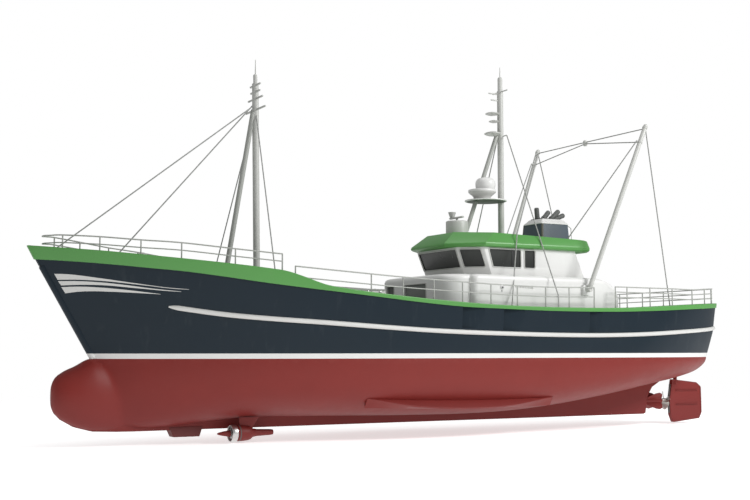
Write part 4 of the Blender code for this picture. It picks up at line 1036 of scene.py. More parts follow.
def make_pod():
    x, y, z = POD
    axle = (0, y, z)
    form = Form("bottom")
    form.spun(((0.12, 7.6), (0.14, 7.75), (0.165, 8.4), (0.2, 8.62), (0.31, 8.76), (0.345, 8.9), (0.37, 9.2),
               (0.37, 9.38), (0.34, 9.43)), axle, 40, AHEAD)
    form.loft([[Vector((fore - (fore - aft) * (1 - cos(a)) / 2, y + half * sin(a), height)) for a in around(24)]
               for height, aft, fore, half in
               ((-3.3, 8.65, 9.25, 0.07), (-3.0, 8.5, 9.28, 0.075), (-2.7, 8.3, 9.3, 0.09))])
    form.use("dark")
    form.spun(((0.371, 9.30), (0.374, 9.31), (0.374, 9.34), (0.371, 9.35)), axle, 40, AHEAD)
    form.skin("thruster_pod", angle=40)
    rotor = Form("steel")
    ring = ((0.33, -0.14), (0.36, -0.15), (0.39, -0.13), (0.395, 0.0), (0.39, 0.11), (0.37, 0.135), (0.34, 0.13),
            (0.33, 0.10))
    rotor.loft([[Vector((x + h, y + r * cos(a), z + r * sin(a))) for r, h in ring] for a in around(48)], ring=True)
    rotor.spun(((0.10, -0.17), (0.15, -0.14), (0.16, 0.0), (0.15, 0.14)), POD, 32, AHEAD)
    blade = blade_rows(0.36, 0.22, radians(40), 0.035, 0.0, 0.2)
    for angle in around(7):
        add_turned(rotor, POD, angle, blade)
    rotor.use("bottom")
    rotor.spun(((0.15, 0.13), (0.14, 0.25), (0.10, 0.5), (0.055, 0.7), (0.02, 0.765)), POD, 32, AHEAD)
    rotor.skin("thruster_rotor", "thruster_rotor", angle=40)


def smooth_copy(node, kind, bevel):
    """A solid's own shape with its doubles merged, flat faces joined and edges softened."""
    shape = bmesh.new()
    shape.from_mesh(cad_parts[node].data)
    bmesh.ops.remove_doubles(shape, verts=shape.verts, dist=0.0001)
    bmesh.ops.dissolve_limit(shape, angle_limit=radians(1.0), verts=shape.verts, edges=shape.edges)
    form = Form(kind)
    form.put([v.co for v in shape.verts], [[v.index for v in face.verts] for face in shape.faces])
    shape.free()
    form.skin(node, bevel=bevel)


def make_transducer():
    smooth_copy("transducer_box", "sounder", 0.03)
    form = Form("sounder")
    for x in (11.2, 11.6, 12.0):
        form.spun(((0.15, 0.0), (0.15, -0.015), (0.12, -0.02), (0.02, -0.02)), (x, 0, -3.545), 28)
    form.make("transducer_faces")


class MakeUnderwaterGear(bpy.types.Operator):
    """Propeller, stern tube, rudder, thruster pod and transducer"""

    bl_idname = "trawler.underwater_gear"
    bl_label = "Underwater gear"

    def execute(self, context):
        make_propeller()
        make_stern_tube()
        make_rudder()
        make_pod()
        make_transducer()
        return {"FINISHED"}


# Houses.


def aft_shift(z):
    """How far the rounded after wall leans forward at a height."""
    up = held((z - 3.0) / (HOUSE_TOP - 3.0))
    return 1.75 * (1 - (1 - up * up) ** 0.5)


def house_outline(z, inward=0.0):
    """The deckhouse wall in plan at a height, narrower ahead of its step."""
    side = HOUSE_HALF_WIDTH - inward
    front = FRONT_HALF_WIDTH - inward
    port = (
        (HOUSE_AFT_X + aft_shift(z), side, 0.5),
        (HOUSE_STEP_X - inward, side, 0.30),
        (HOUSE_STEP_X - inward, front, 0.0),
        (HOUSE_FRONT_X - inward, front, 1.05),
    )
    return rounded([(x, -y, r) for x, y, r in port] + [(x, y, r) for x, y, r in reversed(port)])


def inset_3d(loop, distance):
    """The loop moved inwards in plan, each point at its own height."""
    flat = inset([Vector((p.x, p.y)) for p in loop], distance)
    return [Vector((p.x, p.y, q.z)) for p, q in zip(flat, loop)]


def make_deckhouse():
    loops = [on_deck(house_outline(0))]
    loops += [at_height(house_outline(z), z) for z in (3.0, 3.1, 3.2, 3.3, 3.4, 3.5, 3.6, 3.7, 3.78, HOUSE_WALL_TOP)]
    inner = [inset_3d(loop, 0.12) for loop in reversed(loops)]
    form = Form("white").loft([*loops, *inner], ring=True)
    sill = deck_height(HOUSE_FRONT_X) + 0.16
    side_sill = deck_height(-5.0) + 0.16
    cutters = [Form("white").box((-0.95, low, sill), (-0.15, high, DOOR_TOP)) for _, low, high, _ in FRONT_DOORS]
    cutters.append(Form("white").box((-5.40, -4.1, side_sill), (-4.60, -3.4, DOOR_TOP)))
    cutters.append(Form("black").loft([[(-4.36, y, 3.64), (-5.52, y, 3.60), (-5.52, y, 3.47), (-4.36, y, 3.51)]
                                       for y in (3.715, 3.9)]))
    form.skin("deckhouse_walls", cutters=cutters)
    make_boom_brackets()
    make_deckhouse_roof()
    for body, low, high, kind in FRONT_DOORS:
        make_leaf(body, (DOOR_X, low), (DOOR_X, high), sill, kind, (1, 0))
    make_leaf("side_door", (-5.40, -3.655), (-4.60, -3.655), side_sill, "pale", (0, -1))
    make_house_trim(sill)


def make_boom_brackets():
    form = Form("white")
    for side in (1, -1):
        inner, outer = sorted((side * 3.70, side * (BOOM_HEEL.y - 0.16 - GAP)))
        form.box((BOOM_HEEL.x - 0.22, inner, 3.2), (BOOM_HEEL.x + 0.22, outer, 3.75))
    form.make("boom_brackets", bevel=0.03)


def make_deckhouse_roof():
    foot = HOUSE_WALL_TOP + GAP
    levels = ((foot, 0.0), (3.92, 0.0), (3.97, 0.008), (4.02, 0.026), (4.06, 0.05), (4.10, 0.10), (4.125, 0.16),
              (4.14, 0.23), (HOUSE_TOP, 0.34))
    inside = ((4.03, 0.2), (3.93, 0.12), (foot, 0.12))
    rows = [at_height(inset(house_outline(z), inward), z) for z, inward in inside]
    rows += [at_height(house_outline(z, inward), z) for z, inward in levels]
    Form("white").loft(rows).skin("deckhouse_roof", angle=50,
                                  cutters=[Form("white").box((-8.6, -0.5, 3.9), (-7.2, 0.5, 4.3))])


def make_leaf(body, start, end, low, kind, outward):
    """A door leaf with a raised panel, handle and hinges."""
    start = Vector(start)
    end = Vector(end)
    width = (end - start).length
    along = (end - start).normalized()
    out = Vector(outward)
    form = Form(kind)

    def slab(a, b, z0, z1, near, far):
        plan = [start + along * s + out * d for s, d in ((a, near), (b, near), (b, far), (a, far))]
        form.loft([at_height(plan, z0), at_height(plan, z1)])

    slab(0.02, width - 0.02, low + 0.01, DOOR_TOP - 0.01, -0.025, 0.025)
    slab(0.10, width - 0.12, low + 0.10, DOOR_TOP - 0.10, 0.0, 0.033)
    form.use("steel")
    slab(0.09, 0.12, low + 0.42, low + 0.58, 0.02, 0.07)
    for z in (low + 0.15, DOOR_TOP - 0.25):
        slab(width - 0.10, width - 0.025, z, z + 0.08, 0.02, 0.035)
    form.make(f"{body}_leaf", body, (f"deckhouse_{body}",), bevel=0.006)


def make_house_trim(sill):
    """Door coamings, the vent slot's black back as painted shade, its louvres, and a small round fitting."""
    near, far, foot, head = -0.56, -0.53, sill - 0.05, DOOR_TOP + 0.05
    form = Form("pale")
    for _, low, high, _ in FRONT_DOORS:
        form.box((near, low - 0.05, foot), (far, low, head))
        form.box((near, high, foot), (far, high + 0.05, head))
        form.box((near, low, DOOR_TOP), (far, high, head))
        form.box((near, low, foot), (far, high, sill))
    # Painted shade: a black plate behind the louvres stands for the dark inside of the vent slot.
    form.use("black").box((-5.50, 3.64, 3.47), (-4.38, 3.70, 3.63))
    form.use("pale")
    for i in range(11):
        x = -4.46 - i * 0.1
        form.box((x - 0.012, 3.70, 3.49 - i * 0.004), (x + 0.012, 3.745, 3.63 - i * 0.004))
    form.use("steel")
    form.spun(((0.02, 0.0), (0.10, 0.0), (0.10, 0.03), (0.085, 0.045), (0.02, 0.045)), (-3.60, 3.745, 3.50), 28,
              TO_PORT)
    form.use("black")
    form.spun(((0.01, 0.0), (0.04, 0.0), (0.04, 0.01), (0.01, 0.01)), (-3.60, 3.79, 3.50), 20, TO_PORT)
    form.spun(((0.01, 0.0), (0.03, 0.0), (0.03, 0.02), (0.01, 0.02)), (-3.58, 3.748, 3.32), 20, TO_PORT)
    form.make("deckhouse_trim", bevel=0.004)


def ring_of(port_points, z):
    loop = [Vector((x, y, z)) for x, y in port_points]
    return loop + [Vector((p.x, -p.y, z)) for p in reversed(loop)]


def on_cabin(low, high, share, z):
    """A point of the cabin's outer wall between two corners, at a share of its width."""
    up = (z - HOUSE_TOP) / (CABIN_TOP - HOUSE_TOP)
    a, b = [Vector((*p, HOUSE_TOP)).lerp(Vector((*q, CABIN_TOP)), up) for p, q in zip(low, high)]
    return a.lerp(b, share)


def wall_window(low, high, start, end):
    return [on_cabin(low, high, share, z) for share, z in
            ((start, WINDOW_FOOT), (end, WINDOW_FOOT), (end, WINDOW_HEAD), (start, WINDOW_HEAD))]


def windows():
    """Corners and outward normal of each wheelhouse window."""
    found = [wall_window(((CABIN_LOW[0][0], -1.80), CABIN_LOW[0]), ((CABIN_HIGH[0][0], -1.88), CABIN_HIGH[0]),
                         0.03, 0.97)]
    for side in (1, -1):
        low = [(x, side * y) for x, y in CABIN_LOW[:2]]
        high = [(x, side * y) for x, y in CABIN_HIGH[:2]]
        found.append(wall_window(low, high, 0.10, 0.86))
        for top, foot in (((-3.46, -5.42), (-3.72, -5.43)), ((-5.69, -6.33), (-5.69, -6.32))):
            found.append([Vector((x, side * CABIN_HALF_WIDTH, z)) for x, z in
                          ((foot[0], WINDOW_FOOT), (foot[1], WINDOW_FOOT), (top[1], SIDE_WINDOW_HEAD),
                           (top[0], SIDE_WINDOW_HEAD))])
    aft = [[(ring[2][0], y) for y in (CABIN_HALF_WIDTH, -CABIN_HALF_WIDTH)] for ring in (CABIN_LOW, CABIN_HIGH)]
    found.append(wall_window(*aft, 0.29, 0.71))
    shaped = []
    for corners in found:
        normal = (corners[1] - corners[0]).cross(corners[3] - corners[0]).normalized()
        if normal.dot(corners[0] - Vector((-6, 0, 5))) < 0:
            normal.negate()
        shaped.append((corners, normal))
    return shaped


def window_loop(corners, outward, radius):
    """The window's outline in its own plane, grown by outward and with rounded corners."""
    across = (corners[1] - corners[0]).normalized()
    up = (corners[3] - corners[0])
    up = (up - across * up.dot(across)).normalized()
    flat = [Vector(((p - corners[0]).dot(across), (p - corners[0]).dot(up))) for p in corners]
    grown = inset(flat, -outward)
    return [corners[0] + across * p.x + up * p.y for p in rounded([(p.x, p.y, radius) for p in grown], 5)]


def make_wheelhouse():
    low = ring_of(CABIN_LOW, HOUSE_TOP + GAP)
    high = ring_of(CABIN_HIGH, CABIN_TOP)
    levels = [[a.lerp(b, s) for a, b in zip(low, high)] for s in spaced(0, 1, 8)]
    inner = [inset_3d(loop, 0.10) for loop in reversed(levels)]
    form = Form("white").loft([*levels, *inner], ring=True)
    cutters = []
    trim = Form()
    for corners, normal in windows():
        loop = window_loop(corners, -GAP, 0.06)
        cutters.append(Form("white").loft([[p - normal * 0.3 for p in loop], [p + normal * 0.3 for p in loop]]))
        for kind, section in (("pale", FRAME_SECTION), ("black", SEAL_SECTION)):
            trim.use(kind).loft([[p + normal * proud for p in window_loop(corners, outward, radius)]
                                 for outward, radius, proud in section], ring=True)
    form.skin("wheelhouse_walls", cutters=cutters, bevel=0.02)
    trim.make("window_frames", angle=50)
    for node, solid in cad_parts.items():
        if node.startswith("pane_"):
            solid.data.materials.clear()
            solid.data.materials.append(finish("glass"))
    make_brow_roof()
    make_window_bars()


def brow(front, corner, side, aft, z_front, z_aft):
    """One level of the brow roof: its front, corner, side and after end, falling from front to aft."""
    port = [(*front, 0.0), (*corner, 0.0), (aft, side, 1.1)]
    plan = rounded([(x, -y, r) for x, y, r in reversed(port)] + port, steps=10)
    return [Vector((p.x, p.y, z_front + (z_aft - z_front) * held((front[0] - p.x) / (front[0] - aft)))) for p in plan]


def make_brow_roof():
    form = Form("green").loft([
        brow((-1.66, 1.56), (-3.14, 3.00), 3.00, -10.26, CABIN_TOP + GAP, CABIN_TOP + GAP),
        brow((-1.58, 1.59), (-3.10, 3.07), 3.07, -10.32, 5.62, 5.62),
        brow((-1.54, 1.60), (-3.08, 3.11), 3.11, -10.36, 5.70, 5.70),
        brow((-1.60, 1.59), (-3.10, 3.10), 3.10, -10.36, 5.80, 5.80),
        brow((ROOF_FRONT_X, 1.27), (-3.98, 2.60), 3.00, -10.33, ROOF_FRONT_Z, 6.16)])
    low = ((-2.40, 1.66), (-3.36, 2.62), (-8.6, 2.62))
    high = ((-2.75, 1.10), (-4.0, 2.20), (-8.6, 2.30))
    space = Form("green").loft([ring_of(low, 5.4), ring_of(low, 5.75), ring_of(high, 6.08)])
    form.skin("wheelhouse_roof", bevel=0.03, cutters=[space], angle=30)


def make_window_bars():
    """The dark bars between the side windows."""
    form = Form("black")
    for low, high in ((2.83, 2.842), (-2.842, -2.83)):
        form.box((-4.98, low, 4.62), (-4.90, high, 5.47))
    form.make("window_bars", bevel=0.004)


class MakeDeckhouse(bpy.types.Operator):
    """Deckhouse walls, roof, doors and trim"""

    bl_idname = "trawler.deckhouse"
    bl_label = "Deckhouse"

    def execute(self, context):
        make_deckhouse()
        return {"FINISHED"}


class MakeWheelhouse(bpy.types.Operator):
    """Wheelhouse walls, windows and brow roof"""

    bl_idname = "trawler.wheelhouse"
    bl_label = "Wheelhouse"

    def execute(self, context):
        make_wheelhouse()
        return {"FINISHED"}


# On the wheelhouse roof.


def roof_z(x):
    """Height of the brow roof's top at a place."""
    return ROOF_FRONT_Z - 0.26 * held((ROOF_FRONT_X - x) / 7.78)


def funnel_plan(low_x, low_y, high_x, high_y, radius, steps):
    return rounded([(low_x, -low_y, radius), (high_x, -high_y, radius), (high_x, high_y, radius),
                    (low_x, low_y, radius)], steps)


def make_funnel():
    form = Form("funnel")
    foot = funnel_plan(-10.21, 0.955, -8.31, 0.915, 0.06, 5)
    form.loft([[Vector((p.x, p.y, roof_z(p.x))) for p in foot],
               at_height(funnel_plan(-10.16, 0.86, -8.39, 0.82, 0.06, 5), 7.23)])
    form.use("band")
    for side in (1, -1):
        form.tube([(-8.37, side * 0.87, 6.24), (-8.44, side * 0.80, 7.22)], 0.065, 12)
    form.skin("funnel_casing")
    cap = Form("white").loft([
        at_height(funnel_plan(-10.16 + s, 0.86 - s, -8.39 - s, 0.82 - s, 0.08, 6), z)
        for z, s in ((7.2303, -0.03), (7.25, -0.03), (7.35, 0.04), (7.36, 0.07), (7.375, 0.08), (7.50, 0.18),
                     (7.52, 0.21))])
    cap.skin("funnel_cap", angle=50)
    pipes = Form("soot").box((-9.9, -0.5, 7.5203), (-8.65, 0.5, 7.57))
    for start_x, y, end_x, end_z in EXHAUSTS:
        a = Vector((start_x, y, 7.54))
        b = Vector((end_x, y, end_z))
        along = (b - a).normalized()
        pipes.tube([a, b - along * 0.1, b - along * 0.04, b - along * 0.012, b], [0.135, 0.135, 0.125, 0.10, 0.06], 24)
        pipes.tube([a + along * 0.06, a + along * 0.12], 0.15, 24)
    pipes.skin("exhaust_pipes", angle=45)


def make_roof_ladder():
    """The ladder on the funnel's after face."""
    form = Form("pale")
    for y in (0.42, 0.80):
        form.tube([(-10.15, y, 7.2), (-10.40, y, 7.05), (-10.44, y, 6.17), (-10.30, y, 6.10)], 0.022, 10)
    form.make("roof_ladder")


def make_scanner():
    drum = Form("pale")
    z = roof_z(SCANNER_X)
    drum.spun(((0.02, z - 0.05), (0.59, z - 0.05), (0.59, 7.08), (0.575, 7.125), (0.54, 7.15), (0.02, 7.15)),
              (SCANNER_X, 0, 0), 48)
    drum.spun(((0.598, z + 0.02), (0.61, z + 0.03), (0.61, z + 0.09), (0.598, z + 0.1)), (SCANNER_X, 0, 0), 48)
    drum.skin("scanner_drum", angle=45)
    form = Form("pale")
    form.loft([[Vector((-3.40 + half * cos(a), y, 7.33 + tall * sin(a))) for a in around(20)] for y, half, tall in
               ((-0.62, 0.05, 0.03), (-0.58, 0.09, 0.05), (0.0, 0.10, 0.055), (0.58, 0.09, 0.05), (0.62, 0.05, 0.03))])
    form.spun(((0.09, 7.151), (0.09, 7.2), (0.06, 7.24), (0.06, 7.32)), (SCANNER_X, 0, 0), 24)
    form.spun(((0.10, 7.34), (0.12, 7.38), (0.20, 7.62), (0.21, 7.66), (0.17, 7.66), (0.09, 7.42), (0.02, 7.40)),
              (-3.40, -0.42, 0), 28)
    form.skin("radar_scanner", "scanner", angle=50)


def make_radome():
    form = Form("white")
    form.spun(((0.44, 8.86), (0.50, 8.98), (0.535, 9.12), (0.54, 9.26), (0.52, 9.38), (0.46, 9.48), (0.36, 9.55),
               (0.22, 9.59), (0.02, 9.60)), (-5.27, 0, 0), 48)
    form.use("pale")
    form.spun(((0.43, 8.345), (0.45, 8.40), (0.47, 8.53), (0.55, 8.62), (0.66, 8.70), (0.72, 8.76), (0.735, 8.80)),
              (RADOME_X, 0, 0), 48)
    form.use("white")
    form.spun(((0.72, 8.79), (0.74, 8.80), (0.745, 8.86), (0.73, 8.91), (0.66, 8.93), (0.3, 8.94), (0.02, 8.94)),
              (RADOME_X, 0, 0), 48)
    form.skin("radome", angle=45)


def make_dish_platform():
    # Painted shade: the platform's underside is dark and its top white.
    form = Form("dark")
    form.spun(((0.02, 8.235), (0.34, 8.235), (0.84, 8.27), (1.08, 8.30)), (DISH_X, 0, 0), 48)
    form.use("white")
    form.spun(((1.07, 8.295), (1.12, 8.31), (1.125, 8.34), (1.11, 8.365), (0.84, 8.395), (0.02, 8.43)),
              (DISH_X, 0, 0), 48)
    form.skin("dish_platform", angle=45)


class MakeRoofGear(bpy.types.Operator):
    """Funnel, exhausts, scanner, radome and platform"""

    bl_idname = "trawler.roof_gear"
    bl_label = "Roof gear"

    def execute(self, context):
        make_funnel()
        make_roof_ladder()
        make_scanner()
        make_radome()
        make_dish_platform()
        return {"FINISHED"}


# Masts.


def lens_profile(radius, thick):
    half = thick / 2
    lower = ((radius * 0.02, half), (radius * 0.45, half * 0.92), (radius * 0.8, half * 0.55), (radius, half * 0.16))
    return [*lower, *((r, -z) for r, z in reversed(lower))]


def collar(radius, wide):
    """The flared foot of a mast."""
    return (radius, 0.0), (wide, 0.0), (wide, 0.03), (0.20, 0.06), (radius, 0.12)


def make_main_mast():
    x = MAST_X
    z = roof_z(x)
    form = Form("pale")
    form.tube([(x, 0, z - 0.1), (x, 0, 10.0), (x, 0, 14.4)], 0.165, 32)
    form.spun(collar(0.165, 0.28), (x, 0, z))
    form.tube([(x, 0, 14.38), (x, 0, 14.44), (x, 0, 15.1), (x, 0, 15.16)], [0.16, 0.13, 0.13, 0.09], 28)
    form.tube([(x, 0, 15.1), (x, 0, 15.73)], [0.03, 0.018], 12)
    for start, end, height, radius in MAST_ARMS:
        form.tube([(x + start[0], start[1], height), (x + end[0], end[1], height)], radius, 12, True)
    for reach, height, radius, thick in MAST_DISCS:
        form.spun(lens_profile(radius, thick), (x + reach, 0, height), 36)
    form.skin("main_mast", angle=50)
    strut = Form("grey")
    strut.tube([(-6.05, 0, 12.0), (-3.88, 0, 6.3)], 0.115, 28)
    strut.skin("mast_strut")


def make_foremast():
    foot, head = FOREMAST_FOOT, FOREMAST_HEAD
    form = Form("pale")
    form.tube([foot.lerp(head, 0.03), head], 0.16, 32)
    form.spun(collar(0.16, 0.27), (8.035, 0, deck_height(foot.x)))
    form.tube([head + Vector(p) for p in ((0, 0, -0.02), (0, 0, 0.05), (0.01, 0, 0.42), (0.01, 0, 0.46))],
              [0.155, 0.10, 0.10, 0.07], 24)
    form.tube([head + Vector((0, 0, 0.4)), head + Vector((0, 0, 1.18))], [0.03, 0.018], 12)
    for z, reach in FOREMAST_ARMS:
        x = foot.x + (head.x - foot.x) * (z - foot.z) / (head.z - foot.z)
        form.tube([(x, -reach, z), (x, reach, z)], 0.05, 14, True)
    form.skin("foremast", angle=50)
    strut = Form("grey")
    strut.tube([(8.287, 0, 11.9), (9.78, 0, 3.1)], 0.12, 28)
    strut.spun(((0.12, 0.0), (0.22, 0.0), (0.22, 0.03), (0.12, 0.08)), (9.70, 0, deck_height(9.7)), 28)
    strut.skin("foremast_strut")


class MakeMasts(bpy.types.Operator):
    """Main mast and foremast with their struts and arms"""

    bl_idname = "trawler.masts"
    bl_label = "Masts"

    def execute(self, context):
        make_main_mast()
        make_foremast()
        return {"FINISHED"}


# Booms and rigging.


def to_side(point, side):
    return Vector((point[0], side * point[1], point[2]))


def make_booms():
    form = Form("pale")
    for side in (1, -1):
        heel = to_side(BOOM_HEEL, side)
        head = to_side(BOOM_HEAD, side)
        form.tube([heel, heel.lerp(head, 0.5), head], 0.12, 24, True)
        form.tube([(heel.x, heel.y - 0.16, heel.z), (heel.x, heel.y + 0.16, heel.z)], 0.10, 24)
        for start, end in ((0.895, 0.905), (0.985, 0.996)):
            form.tube([heel.lerp(head, start), heel.lerp(head, end)], 0.14, 24)
    head = BOOM_HEAD - Vector((0, 0, 0.12))
    low = BOOM_HEEL.lerp(BOOM_HEAD, 0.90)
    middle = Vector((-12.17, 0, 12.11))
    form.use("wire")
    for path in ([head, middle + Vector((0, 0.1, 0))], [to_side(head, -1), middle - Vector((0, 0.1, 0))],
                 [low, middle - Vector((0, 0, 0.08)), to_side(low, -1)]):
        form.tube(path, sizes().wire_radius, 8)
    form.use("pale")
    form.spun(((0.02, 0.12), (0.09, 0.11), (0.12, 0.06), (0.12, -0.16), (0.09, -0.21), (0.02, -0.22)), middle, 24)
    form.skin("cargo_booms", "booms", angle=50)


def stay(node, *points):
    form = Form("wire")
    form.tube(points, sizes().wire_radius, 8)
    form.make(node + "_wire", replaces=(node,))


def make_stays():
    stay("forestay", (8.30, 0.05, 12.10), (17.72, 0.0, 4.75))
    stay("inner_forestay", (8.30, -0.05, 12.14), (15.40, 0.0, 4.05))
    for side, name in ((1, "port"), (-1, "starboard")):
        stay("fore_shroud_" + name, *(to_side(p, side) for p in ((8.19, 0.10, 11.7), (8.8, 3.72, 3.9))))
        stay("main_shroud_" + name,
             *(to_side(p, side) for p in ((-6.40, 0.42, 11.93), (-6.64, 4.37, 3.12), (-6.64, 4.37, 2.52))))


def make_guys():
    """Guys from the booms down to the hull."""
    for name, points in GUYS.items():
        *lead, foot, head = [Vector(p) for p in points]
        form = Form("wire")
        if lead:
            form.tube([*lead, foot], sizes().wire_radius, 8)
        form.tube([foot.lerp(head, t) for t in spaced(0, 1, 25)], sizes().wire_radius, 8)
        obj = show(f"boom_guy_{name}", form.mesh(f"boom_guy_{name}"))
        settle(obj, 50)
        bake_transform(obj)


class MakeRigging(bpy.types.Operator):
    """Booms, guys, stays and shrouds"""

    bl_idname = "trawler.rigging"
    bl_label = "Booms and rigging"

    def execute(self, context):
        make_booms()
        make_stays()
        make_guys()
        return {"FINISHED"}


# Rails.


def dense(points, steps=8):
    """Points on a smooth curve through the points given."""
    path = []
    count = len(points)
    for i in range(count - 1):
        p0, p1, p2, p3 = points[max(i - 1, 0)], points[i], points[i + 1], points[min(i + 2, count - 1)]
        for s in range(steps):
            t = s / steps
            path.append(0.5 * (2 * p1 + (p2 - p0) * t + (2 * p0 - 5 * p1 + 4 * p2 - p3) * t * t
                               + (3 * p1 - p0 - 3 * p2 + p3) * t**3))
    path.append(points[-1])
    return path


def make_rail(node, line, drops, posts):
    """A rail along a line: its top, lower rails at some drops, and flanged posts."""
    radius = sizes().rail_radius
    form = Form("grey")
    path = dense(line)
    form.tube(path, radius, 12, True)
    for drop in drops:
        form.tube([p - Vector((0, 0, drop)) for p in path], radius * 0.85, 10, True)
    for p in posts:
        form.tube([(p.x, p.y, band_top(p.x) - 0.01), p], radius, 10)
    form.skin(node, angle=50)
    make_flanges(node + "_skin_flanges", [(p.x, p.y, band_top(p.x)) for p in posts])


def on_line(line, x):
    ordered = sorted(line, key=lambda p: p.x)
    return Vector((x, straight([(p.x, p.y) for p in ordered], x), straight([(p.x, p.z) for p in ordered], x)))


def make_rails():
    bow = [Vector((x, half_breadth(DECK_LINE, x) - 0.1, z)) for x, z in BOW_RAIL]
    posts = [on_line(bow, x) for x, _ in BOW_RAIL[:1:-1]]
    make_rail("bow_rail", bow[::-1] + mirrored(bow), (0.33,), posts + mirrored(posts))
    side = [Vector((x, half_breadth(DECK_LINE, x) - 0.12, z)) for x, z in SIDE_RAIL]
    for name, line in (("port", side), ("starboard", mirrored(side))):
        make_rail("side_rail_" + name, line, (0.48,), line)
    line = DECK_LINE._replace(beam=DECK_LINE.beam - 0.16, stern=DECK_LINE.stern + 0.16)
    port = [Vector((x, half_breadth(line, x), 3.68 + 0.25 * held((-16.2 - x) / 4))) for x in STERN_RAIL]
    make_rail("stern_rail", port + mirrored(port[::-1]), (0.27, 0.54), port[:-1] + mirrored(port[:-1]))


def flange_tree():
    """A geometry tree that puts a flange with four bolts at each point."""
    tree = bpy.data.node_groups.new("rail_flanges", "GeometryNodeTree")
    for label, kind in (("Geometry", "Geometry"), ("Radius", "Float"), ("Finish", "Material")):
        tree.interface.new_socket(label, in_out="INPUT", socket_type="NodeSocket" + kind)
    tree.interface.new_socket("Geometry", in_out="OUTPUT", socket_type="NodeSocketGeometry")
    n = Nodes(tree)
    given = n.node("NodeGroupInput").out.node.outputs
    geometry, radius, look = [Term(n, given[i]) for i in range(3)]
    plate = n.node("GeometryNodeMeshCylinder", inputs={"Vertices": 20, "Radius": radius, "Depth": 0.02})
    ring = n.node("GeometryNodeMeshCircle", inputs={"Vertices": 4, "Radius": radius * 0.7})
    head = n.node("GeometryNodeMeshCylinder", inputs={"Vertices": 6, "Radius": 0.009, "Depth": 0.04})
    bolts = n.node("GeometryNodeInstanceOnPoints", inputs={"Points": ring, "Instance": head})
    both = n.node("GeometryNodeJoinGeometry")
    for part in (plate, bolts):
        tree.links.new(part.out, both.out.node.inputs[0])
    placed = n.node("GeometryNodeInstanceOnPoints", inputs={"Points": geometry, "Instance": both})
    real = n.node("GeometryNodeRealizeInstances", inputs={0: placed})
    done = n.node("GeometryNodeSetMaterial", inputs={"Geometry": real, "Material": look})
    tree.links.new(done.out, tree.nodes.new("NodeGroupOutput").inputs[0])
    return tree


def make_flanges(name, points):
    """Runs the flange tree on points and keeps the result as a plain piece."""
    mesh = bpy.data.meshes.new(name)
    mesh.from_pydata(points, [], [])
    obj = show(name, mesh)
    modifier = obj.modifiers.new("Flanges", "NODES")
    modifier.node_group = bpy.data.node_groups.get("rail_flanges") or flange_tree()
    values = {"Radius": sizes().flange_radius, "Finish": finish("grey")}
    for item in modifier.node_group.interface.items_tree:
        if item.in_out == "INPUT" and item.name in values:
            modifier[item.identifier] = values[item.name]
    bake(obj)
    settle(obj, 50)
    seat(obj, "hull")


class MakeRails(bpy.types.Operator):
    """Bow, side and stern rails with flanged posts"""

    bl_idname = "trawler.rails"
    bl_label = "Rails"

    def execute(self, context):
        make_rails()
        return {"FINISHED"}


# Deck gear.


def make_hatch():
    z = deck_height(3.0)
    outline = rounded([(1.6, -1.3, 0.2), (4.4, -1.3, 0.2), (4.4, 1.3, 0.2), (1.6, 1.3, 0.2)], 8)
    form = Form("white")
    low = on_deck(outline)
    rows = [low, at_height(outline, z + 0.42)]
    rows += [inset_3d(rows[1], 0.06), inset_3d(low, 0.06)]
    form.loft(rows, ring=True)
    form.skin("hatch_coaming")
    lid = Form("grey")
    edge = inset(outline, -0.03)
    lid.loft([at_height(edge, z + 0.4203), at_height(edge, z + 0.485), at_height(inset(outline, 0.0), z + 0.50)])
    for x in (2.2, 3.0, 3.8):
        lid.box((x - 0.03, -1.2, z + 0.49), (x + 0.03, 1.2, z + 0.515))
    lid.use("steel")
    for y in (-0.8, 0.8):
        lid.tube([(4.25, y - 0.15, z + 0.5), (4.25, y - 0.15, z + 0.55), (4.25, y + 0.15, z + 0.55),
                  (4.25, y + 0.15, z + 0.5)], 0.015, 8)
    lid.skin("hatch_lid", "hatch_lid")
    dogs = Form("steel")
    for x in (2.0, 2.7, 3.4, 4.1):
        for side in (1, -1):
            dogs.box((x - 0.04, side * 1.36 - 0.025, z + 0.28), (x + 0.04, side * 1.36 + 0.025, z + 0.40))
    dogs.make("hatch_dogs", bevel=0.008)


def make_windlass():
    x = WINDLASS.x
    z = deck_height(x)
    form = Form("grey")
    form.box((x - 0.4, -0.55, z - 0.05), (x + 0.4, 0.55, 4.35))
    form.box((x - 0.5, -0.62, z - 0.02), (x + 0.5, 0.62, z + 0.05))
    warping_head = ((0.02, -0.95), (0.24, -0.95), (0.28, -0.93), (0.28, -0.9), (0.18, -0.82), (0.17, -0.72),
                    (0.25, -0.62), (0.28, -0.6), (0.28, -0.56))
    form.spun(warping_head, WINDLASS, 32, TO_PORT)
    form.spun([(r, -y) for r, y in reversed(warping_head)], WINDLASS, 32, TO_PORT)
    form.use("dark")
    form.spun(((0.28, -0.55), (0.28, -0.3), (0.2, -0.28), (0.2, 0.28), (0.28, 0.3), (0.28, 0.55)), WINDLASS, 32,
              TO_PORT)
    form.skin("windlass", bevel=0.015, angle=40)


def make_bitts():
    """Two mooring bitts on each side of the fore deck."""
    form = Form("grey")
    for x, y in ((11.6, 2.3), (12.6, 2.0)):
        z = deck_height(x)
        for side in (1, -1):
            form.box((x - 0.35, side * y - 0.12, z), (x + 0.35, side * y + 0.12, z + 0.03))
            for dx in (-0.2, 0.2):
                form.spun(((0.08, 0.0), (0.08, 0.27), (0.105, 0.29), (0.105, 0.33), (0.09, 0.35), (0.02, 0.355)),
                          (x + dx, side * y, z + 0.02), 24)
    form.make("mooring_bitts", angle=40)


class MakeDeckGear(bpy.types.Operator):
    """Hatch, windlass and mooring bitts"""

    bl_idname = "trawler.deck_gear"
    bl_label = "Deck gear"

    def execute(self, context):
        make_hatch()
        make_windlass()
        make_bitts()
        return {"FINISHED"}


